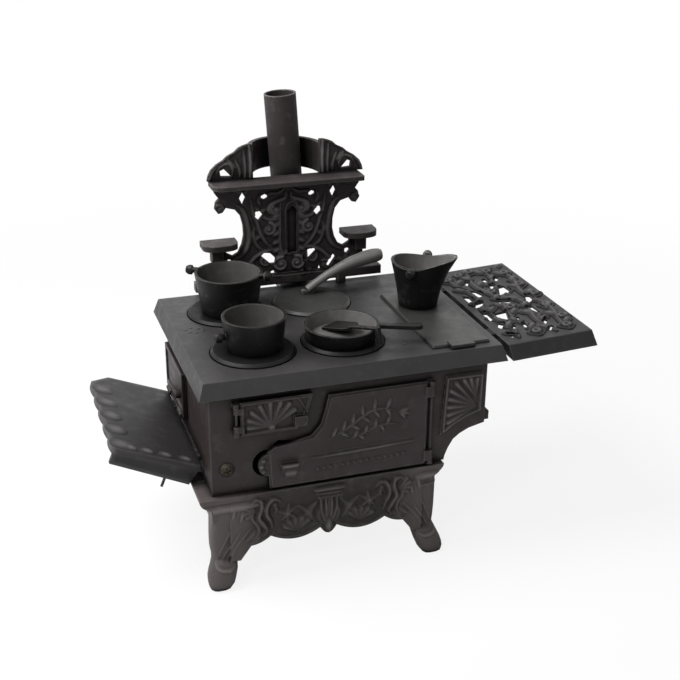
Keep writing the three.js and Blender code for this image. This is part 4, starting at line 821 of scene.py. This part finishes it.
# Places on the oven door's sprigs where a leaf starts, and its direction in degrees
UPPER_LEAVES = [(-17, 100.2, 62), (-10.4, 103.4, 70), (-4, 107.2, 78), (3, 111.8, 92), (10.6, 115, 84),
                (18.6, 115, 66)]
LOWER_LEAVES = [(-12.6, 102.6, -34), (-5.4, 106.4, -30), (2, 111, -38), (9.4, 114.6, -52),
                (17.4, 115.2, -60)]
SMALL_LEAVES = [(-3, 97.8, 58), (4, 100.2, 66), (11, 103.2, 74), (18.6, 104.2, 60), (0, 98.8, -42),
                (14, 103.8, -58)]
LEAF_REACH = 7.4
SMALL_LEAF_REACH = 5.6
DOOR_BEADS = 15


def sprig_leaves(starts, reach):
    leaves = []
    for u, v, turn in starts:
        tip = (u + reach * math.cos(math.radians(turn)), v + reach * math.sin(math.radians(turn)))
        leaves.append(leaf((u, v), tip, 1.4, 0.8, 0.14))
    return leaves


def oven_spray():
    """Two sprigs of leaves over a moulding and a row of beads."""
    strokes = [
        ridge([(-31, 87.6), (37, 89.4)], 0.9, 0.9, 0.6, 0.6),
        ridge([(-31, 89.8), (37, 91.6)], 0.5, 0.4, 0.6, 0.6),
    ]
    strokes += [bead((-27 + 4.1 * i, 79.6 + 0.11 * i), 1.3, 0.6) for i in range(DOOR_BEADS)]
    strokes += [
        ridge([(-20, 99), (-10, 103.6), (0, 110), (8, 114.6), (17, 115.4), (27, 111)], 0.7, 0.7),
        ridge([(-8, 96.6), (2, 99.6), (12, 103.4), (22, 104), (31, 100)], 0.7, 0.6),
    ]
    strokes += sprig_leaves(UPPER_LEAVES + LOWER_LEAVES, LEAF_REACH)
    strokes += sprig_leaves(SMALL_LEAVES, SMALL_LEAF_REACH)
    strokes += fan((27, 111), [(33.4, 113.4), (34, 109.4), (31.6, 106)], 1.3, 0.8)
    return strokes


def carve_oven_door():
    """The spray, the rubbed knob and the three lobes of the catch."""
    ornament("oven_door_spray", "oven_door", FRONT, bolder(oven_spray(), 1.15, 1.6), 0.4)
    knob = [
        ridge([(-49.4, 86.2), (-40.8, 86.2)], 1.3, 1.0, 1, 1),
        ridge([(-47.4, 81), (-42.6, 81)], 2.2, 0.9, 1, 1),
    ]
    ornament("oven_knob_wear", "oven_door", FRONT, bolder(knob, 1.3, 1), 0.35)
    lobes = [bead((-61.6, 90.4), 2.0, 0.9), bead((-62.8, 86.6), 2.0, 1.0), bead((-61.8, 82.8), 1.9, 0.9)]
    ornament("oven_catch_lobes", "oven_door", FRONT, lobes, 0.35)


# Back


def splash_half():
    """Scrolls and leaves from the plate's middle line outwards."""
    strokes = [
        ridge([(36.4, 210), (32.6, 206.4), (30, 199), (28.4, 188.4), (29.5, 180), (33.7, 174), (39.9, 170.7)],
              1.5, 1.6),
        ridge([(26.4, 213), (25.4, 204), (22.6, 196), (20.6, 189), (16.4, 181), (11.6, 176.2)], 1.3, 1.6),
        ridge([(24.8, 192.6), (25, 185), (22.4, 179), (17, 175.4)], 1.2, 1.4),
        ridge([(1.6, 216.4), (2.6, 212.6), (8, 210.6), (13, 208.2), (14.2, 204), (11.4, 200.6)], 1.5, 1.7),
        ridge([(2, 220), (7, 216.4), (14, 216), (17.4, 212)], 1.2, 1.3),
        ridge([(6.2, 198), (11, 197.6), (17, 199.2), (19, 203)], 1.3, 1.5),
        ridge([(5.6, 208), (6.2, 198), (6.4, 188), (6.2, 178), (4.4, 172.6), (0, 170.6)], 1.1, 1.5),
        ridge([(10.4, 175.4), (17, 175), (24, 171.6), (30.4, 165.4), (36, 163)], 1.4, 1.6),
        ridge([(0, 173.6), (4.6, 171.6), (8.4, 173.6)], 1.2, 1.4),
        ridge([(38.5, 221), (45, 219.4), (51, 221.4)], 1.1, 1.0),
        ridge([(19.4, 207.6), (21.4, 211.6), (20, 216.4)], 1.2, 1.4),
    ]
    strokes += scroll((9.4, 204.4), 3.6, 1.1, 60, -1, 1.3, 1.7)
    strokes += scroll((14.4, 190.8), 4.8, 1.3, 100, 1, 1.4, 1.8)
    strokes += scroll((5.8, 164.6), 5.4, 1.5, 100, -1, 1.5, 1.9)
    strokes += scroll((16.8, 167.6), 4.2, 1.3, 100, -1, 1.3, 1.7)
    strokes += scroll((48.4, 208.4), 3.2, 1.0, 20, 1, 1.1, 1.3)
    strokes += scroll((26.4, 160.6), 3.8, 1.2, 120, -1, 1.2, 1.5)
    for i, height in enumerate((201, 194.6, 188.2, 181.8, 175.6)):
        strokes.append(leaf((6.2, height), (12, height - 4.4 + 0.5 * i), 1.7, 1.6, 0.15))
    strokes += fan((20.4, 203), [(24, 199), (16.4, 206), (23.4, 207.4)], 1.4, 1.5)
    strokes += fan((32, 217), [(37.4, 221), (28.4, 221), (33.6, 210.4)], 1.5, 1.3)
    strokes += fan((24.4, 183.6), [(27, 190.4), (20.4, 186.6)], 1.5, 1.4)
    strokes += fan((42, 160), [(36.6, 165.4), (48.6, 166.4), (43, 168.6)], 1.5, 1.3)
    strokes += fan((12.4, 158.6), [(7.4, 156.6), (17.4, 157.6)], 1.4, 1.3)
    return strokes


# The slot's middle, aside from the plate's own, and half the width of the moulding round it
SLOT_ASIDE = 2.7
SLOT_HALF = 4.8


def carve_splash_plate():
    """The scrolls, and a moulding round the slot's head and sides."""
    left, right = SLOT_ASIDE - SLOT_HALF, SLOT_ASIDE + SLOT_HALF
    slot_edge = [ridge([(left, 174), (left, 203), (SLOT_ASIDE, 209.4), (right, 203), (right, 174)], 1.0, 1.4)]
    strokes = mirrored(bolder(splash_half(), 1.35, 1.2), SPLASH_MIDDLE) + shifted(slot_edge, SPLASH_MIDDLE)
    ornament("splash_plate_scrolls", "splash_plate", FRONT, strokes, 0.4)


def carve_crest():
    """Folds beside the bay, a rolled edge, and a curl round each hole."""
    half = [
        ridge([(25.8, 229), (25.4, 239), (26, 250)], 1.6, 1.5, 0.8, 0.6),
        ridge([(29.4, 229), (29.2, 237), (30, 247.6)], 1.4, 1.3, 0.8, 0.5),
        ridge([(33, 229.4), (33.2, 235), (36, 242)], 1.3, 1.2, 0.6, 0.4),
        ridge([(54, 229.4), (51.6, 235.4), (46.4, 240.8), (40.6, 244.6), (34, 248.6), (28, 251)],
              1.5, 1.4, 0.6, 0.6),
        ridge([(38.4, 230), (37.8, 235.4), (41, 239.4), (46.4, 237.6), (49, 233)], 1.3, 1.2),
        leaf((35.4, 236), (41.6, 243.6), 1.9, 1.3, -0.15),
    ]
    ornament("crest_folds", "crest", FRONT, mirrored(bolder(half, 1.1, 1.2), CREST_MIDDLE), 0.4)


# Sides


def tilted(degrees):
    """Axes for a plate that is tilted about Y, as seen from above."""
    turn = Matrix.Rotation(math.radians(degrees), 3, "Y")
    return turn @ TOP[0], TOP[1], turn @ TOP[2]


APRON_TILT = 22
APRON_INNER = -118.1
APRON_END = 52
APRON_FRONT = -45
END_LOBES = (37.9, 17.7, -2.5, -22.7, -42.9)
FRONT_LOBES = (10, 23, 35, 46)


def carve_hearth():
    """Low lobes along the hearth apron's scalloped end and its front edge."""
    end = [bead((APRON_INNER - APRON_END, y), 7, 0.5) for y in END_LOBES]
    front = [bead((APRON_INNER - inwards, APRON_FRONT), 4.4, 0.55) for inwards in FRONT_LOBES]
    ornament("hearth_lobes", "hearth_apron", tilted(APRON_TILT), end + front, 0.45, reach=1)


SHELF_TILT = 2.94
SHELF_INNER = 108.85
SHELF_LENGTH = 59.4
SHELF_FRONT = -71.2
SHELF_DEPTH = 134.1

# Stems across the shelf and leaves along each, in shares of the shelf's length and depth
STEMS = 4
FIRST_STEM = 0.18
STEM_STEP = 0.215
STEM_SWAY = 0.045
STEM_WAVE = 0.9
STEM_POINTS = 15
POINT_STEP = 0.064
LEAVES = 9
FIRST_LEAF = 0.08
LEAF_STEP = 0.1
RINGS = ((0.12, 0.86), (0.3, 0.9), (0.47, 0.93), (0.68, 0.9), (0.85, 0.84), (0.86, 0.66), (0.9, 0.52),
         (0.86, 0.36), (0.88, 0.2), (0.8, 0.09), (0.42, 0.08), (0.45, 0.62), (0.46, 0.4))


def on_shelf(u_share, v_share):
    return SHELF_INNER + SHELF_LENGTH * u_share, SHELF_FRONT + SHELF_DEPTH * v_share


def shelf_stem(column):
    """A swaying stem with leaves to both sides by turns."""
    u = FIRST_STEM + STEM_STEP * column
    points = []
    for step in range(STEM_POINTS):
        sway = STEM_SWAY * math.sin(STEM_WAVE * step + 1.3 * column)
        points.append(on_shelf(u + sway, 0.05 + POINT_STEP * step))
    strokes = [ridge(points, 1.2, 1.0)]
    for step in range(LEAVES):
        v = FIRST_LEAF + LEAF_STEP * step + 0.04 * (column % 2)
        side = 1 if (step + column) % 2 else -1
        strokes.append(leaf(on_shelf(u, v), on_shelf(u + 0.1 * side, v + 0.05), 2.0, 1.4, 0.15 * side))
    return strokes


def carve_side_shelf():
    """Leaves, stems and rings in relief between the side shelf's openings."""
    strokes = []
    for column in range(STEMS):
        strokes += shelf_stem(column)
    strokes += [ring(on_shelf(u, v), 2.3, 1.1, 1.5) for u, v in RINGS]
    ornament("side_shelf_leaves", "side_shelf", tilted(-SHELF_TILT), strokes, 0.5,
             jump=1.2, reach=5, swell=0.9)


MOULD_LUMPS = [(-90, 12), (-86, 14), (-82, 11.6), (-88, 7), (-84, 5), (-79, 8),
               (38, -52), (42, -50), (33, -2), (24, 2)]


def mark_hob():
    """Small lumps that the mould left on the hob's top."""
    ornament("hob_mould_lumps", "hob", TOP, [bead(place, 0.9, 0.35) for place in MOULD_LUMPS], 0.3)


# Tie bolt with a domed head and a cross recess

BOLT_X = -83.7
BOLT_FACE = -70.3
BOLT_Z = 86.5
HEAD_RADIUS = 4.9
HEAD_DOME = 2.6
HEAD_POWER = 2.4
SHANK_RADIUS = 2.0
BOLT_LENGTH = 140.4
CROSS_ARM = 2.5
CROSS_HALF = 0.62
CROSS_DEPTH = 1.7
CROSS_SLOPE = 0.45
CROSS_TURN = math.radians(12)
ARM_SIDE = 0.25
ARM_END = 0.35
HEAD_RINGS = 34
HEAD_STEPS = 72


def head_height(u, v):
    """How far the head stands out of the front at a place on it, with the cross along u and v."""
    dome = HEAD_DOME * (1 - (math.hypot(u, v) / HEAD_RADIUS) ** HEAD_POWER)
    along, across = max(abs(u), abs(v)), min(abs(u), abs(v))
    beside = min(max((CROSS_HALF - across) / ARM_SIDE, 0), 1)
    beyond = min(max((CROSS_ARM - along) / ARM_END, 0), 1)
    return dome - CROSS_DEPTH * beside * beyond * (1 - CROSS_SLOPE * along / CROSS_ARM)


def round_the_bolt(radius, step):
    angle = 2 * math.pi * step / HEAD_STEPS + CROSS_TURN
    return radius * math.cos(angle), radius * math.sin(angle)


def head_point(u, v):
    turn = -CROSS_TURN
    height = head_height(u * math.cos(turn) - v * math.sin(turn), u * math.sin(turn) + v * math.cos(turn))
    return at(BOLT_X + u, BOLT_FACE - height, BOLT_Z + v)


def head_rings():
    """The head's middle and its rings of points, and the faces between them."""
    vertices = [head_point(0, 0)]
    for k in range(1, HEAD_RINGS + 1):
        for s in range(HEAD_STEPS):
            vertices.append(head_point(*round_the_bolt(HEAD_RADIUS * k / HEAD_RINGS, s)))
    faces = [(0, 1 + (s + 1) % HEAD_STEPS, 1 + s) for s in range(HEAD_STEPS)]
    for k in range(HEAD_RINGS - 1):
        inner = 1 + k * HEAD_STEPS
        for s in range(HEAD_STEPS):
            a = inner + s
            b = inner + (s + 1) % HEAD_STEPS
            faces.append((a, b, b + HEAD_STEPS, a + HEAD_STEPS))
    return vertices, faces


def cross_screw():
    """Replaces the tie bolt's plain head, and carries its shank through to the back."""
    vertices, faces = head_rings()
    rim = 1 + (HEAD_RINGS - 1) * HEAD_STEPS
    for y in (BOLT_FACE, BOLT_FACE + BOLT_LENGTH):
        first = len(vertices)
        for s in range(HEAD_STEPS):
            u, v = round_the_bolt(SHANK_RADIUS, s)
            vertices.append(at(BOLT_X + u, y, BOLT_Z + v))
            ahead = (s + 1) % HEAD_STEPS
            faces.append((rim + s, rim + ahead, first + ahead, first + s))
        rim = first
    faces.append(tuple(rim + s for s in range(HEAD_STEPS)))
    screw = mesh_piece("tie_bolt_cross_head", "tie_bolt", vertices, faces)
    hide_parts("tie_bolt")


# Studio

WHITE = (1, 1, 1, 1)
SKY = (0.97, 0.98, 1, 1)
SKY_STRENGTH = 0.16
FLOOR_DARK = (0.92, 0.92, 0.92, 1)
FLOOR_LIGHT = (0.95, 0.95, 0.95, 1)
FLOOR_REACH = 9

# How far from the object the floor starts to whiten and is whitest, in metres, and its share of white there
FLOOR_SPAN = (0.25, 0.8)
FLOOR_SHARES = (0.86, 1.0)

FOCAL_PIXELS = 1176.0
IMAGE_PIXELS = 680
SENSOR = 36
CAMERA_TURNS = (0.46, 23.44, 18.62)
CAMERA_PLACE = (-219.15, -686.35, 445.62)
CAMERA_NEAR = 0.01


def white_to_the_camera(tree):
    """A sky that camera, glossy and transmission rays see as white, and all others as a soft light."""
    path = new_node(tree, "ShaderNodeLightPath")
    seen = larger(tree, path.outputs["Is Camera Ray"], path.outputs["Is Glossy Ray"])
    seen = larger(tree, seen, path.outputs["Is Transmission Ray"])
    soft = new_node(tree, "ShaderNodeBackground", {"Color": SKY, "Strength": SKY_STRENGTH})
    white = new_node(tree, "ShaderNodeBackground", {"Color": WHITE, "Strength": 1.0})
    mixed = new_node(tree, "ShaderNodeMixShader", {0: seen, 1: soft.outputs[0], 2: white.outputs[0]})
    return mixed.outputs[0]


def light_world():
    world = bpy.data.worlds.new("studio")
    world.use_nodes = True
    world.node_tree.nodes.clear()
    tree = world.node_tree
    new_node(tree, "ShaderNodeOutputWorld", {"Surface": white_to_the_camera(tree)})
    bpy.context.scene.world = world


def soft_lamp(name, place, aim, size, power):
    lamp = bpy.data.lights.new(name, "AREA")
    lamp.shape = "DISK"
    lamp.size = size
    lamp.energy = power
    holder = bpy.data.objects.new(name, lamp)
    holder.location = place
    holder.rotation_euler = (Vector(aim) - Vector(place)).to_track_quat("-Z", "Y").to_euler()
    bpy.context.scene.collection.objects.link(holder)


def floor_material():
    """Matte and pale, whiter to the camera the farther it lies from the object."""
    material, tree = new_material("pale_floor")
    path = new_node(tree, "ShaderNodeLightPath")
    place = new_node(tree, "ShaderNodeTexCoord").outputs["Object"]
    tint = mix_colour(tree, noise(tree, place, FLOOR_CLOUDS), FLOOR_DARK, FLOOR_LIGHT)
    matte = new_node(tree, "ShaderNodeBsdfDiffuse", {"Color": tint})
    white = new_node(tree, "ShaderNodeEmission", {"Color": WHITE, "Strength": 1.0})
    far = new_node(tree, "ShaderNodeVectorMath", {0: place}, operation="LENGTH").outputs["Value"]
    share = times(tree, path.outputs["Is Camera Ray"], between(tree, far, *FLOOR_SPAN, *FLOOR_SHARES))
    shader = new_node(tree, "ShaderNodeMixShader", {0: share, 1: matte.outputs[0], 2: white.outputs[0]})
    new_node(tree, "ShaderNodeOutputMaterial", {"Surface": shader.outputs[0]})
    return material


def lay_floor():
    """A pale floor that keeps the object's shadow."""
    reach = FLOOR_REACH
    corners = [(-reach, -reach, 0), (reach, -reach, 0), (reach, reach, 0), (-reach, reach, 0)]
    mesh = bpy.data.meshes.new("floor")
    mesh.from_pydata(corners, [], [(0, 1, 2, 3)])
    mesh.materials.append(floor_material())
    floor = bpy.data.objects.new("floor", mesh)
    bpy.context.scene.collection.objects.link(floor)


def place_camera():
    """The photograph's own view, found from the corners of the hob, base and shelves."""
    roll, pitch, yaw = (math.radians(angle) for angle in CAMERA_TURNS)
    rows = Matrix.Rotation(roll, 3, "Y") @ Matrix.Rotation(pitch, 3, "X") @ Matrix.Rotation(yaw, 3, "Z")
    right, forward, up = rows
    data = bpy.data.cameras.new("photo_camera")
    data.sensor_width = SENSOR
    data.lens = FOCAL_PIXELS / IMAGE_PIXELS * SENSOR
    data.clip_start = CAMERA_NEAR
    camera = bpy.data.objects.new("photo_camera", data)
    turn = Matrix((right, up, -forward)).transposed().to_4x4()
    camera.matrix_world = Matrix.Translation(at(*CAMERA_PLACE)) @ turn
    bpy.context.scene.collection.objects.link(camera)
    bpy.context.scene.camera = camera


finish_nodes()
round_castings()
carve_skirt()
carve_legs()
round_rail()
carve_draft_door()
carve_sunburst()
carve_oven_door()
carve_splash_plate()
carve_crest()
carve_hearth()
carve_side_shelf()
mark_hob()
cross_screw()
light_world()
soft_lamp("overhead", place=(-0.5, 0.1, 0.9), aim=(0, 0, 0.1), size=0.6, power=11)
soft_lamp("front_fill", place=(-0.9, -0.95, 1.25), aim=(0, 0, 0.12), size=0.4, power=7)
soft_lamp("back_sheen", place=(0.5, 1.3, 0.8), aim=(0, 0, 0.15), size=1.2, power=1.0)
lay_floor()
place_camera()
bpy.context.scene.view_settings.view_transform = "Standard"
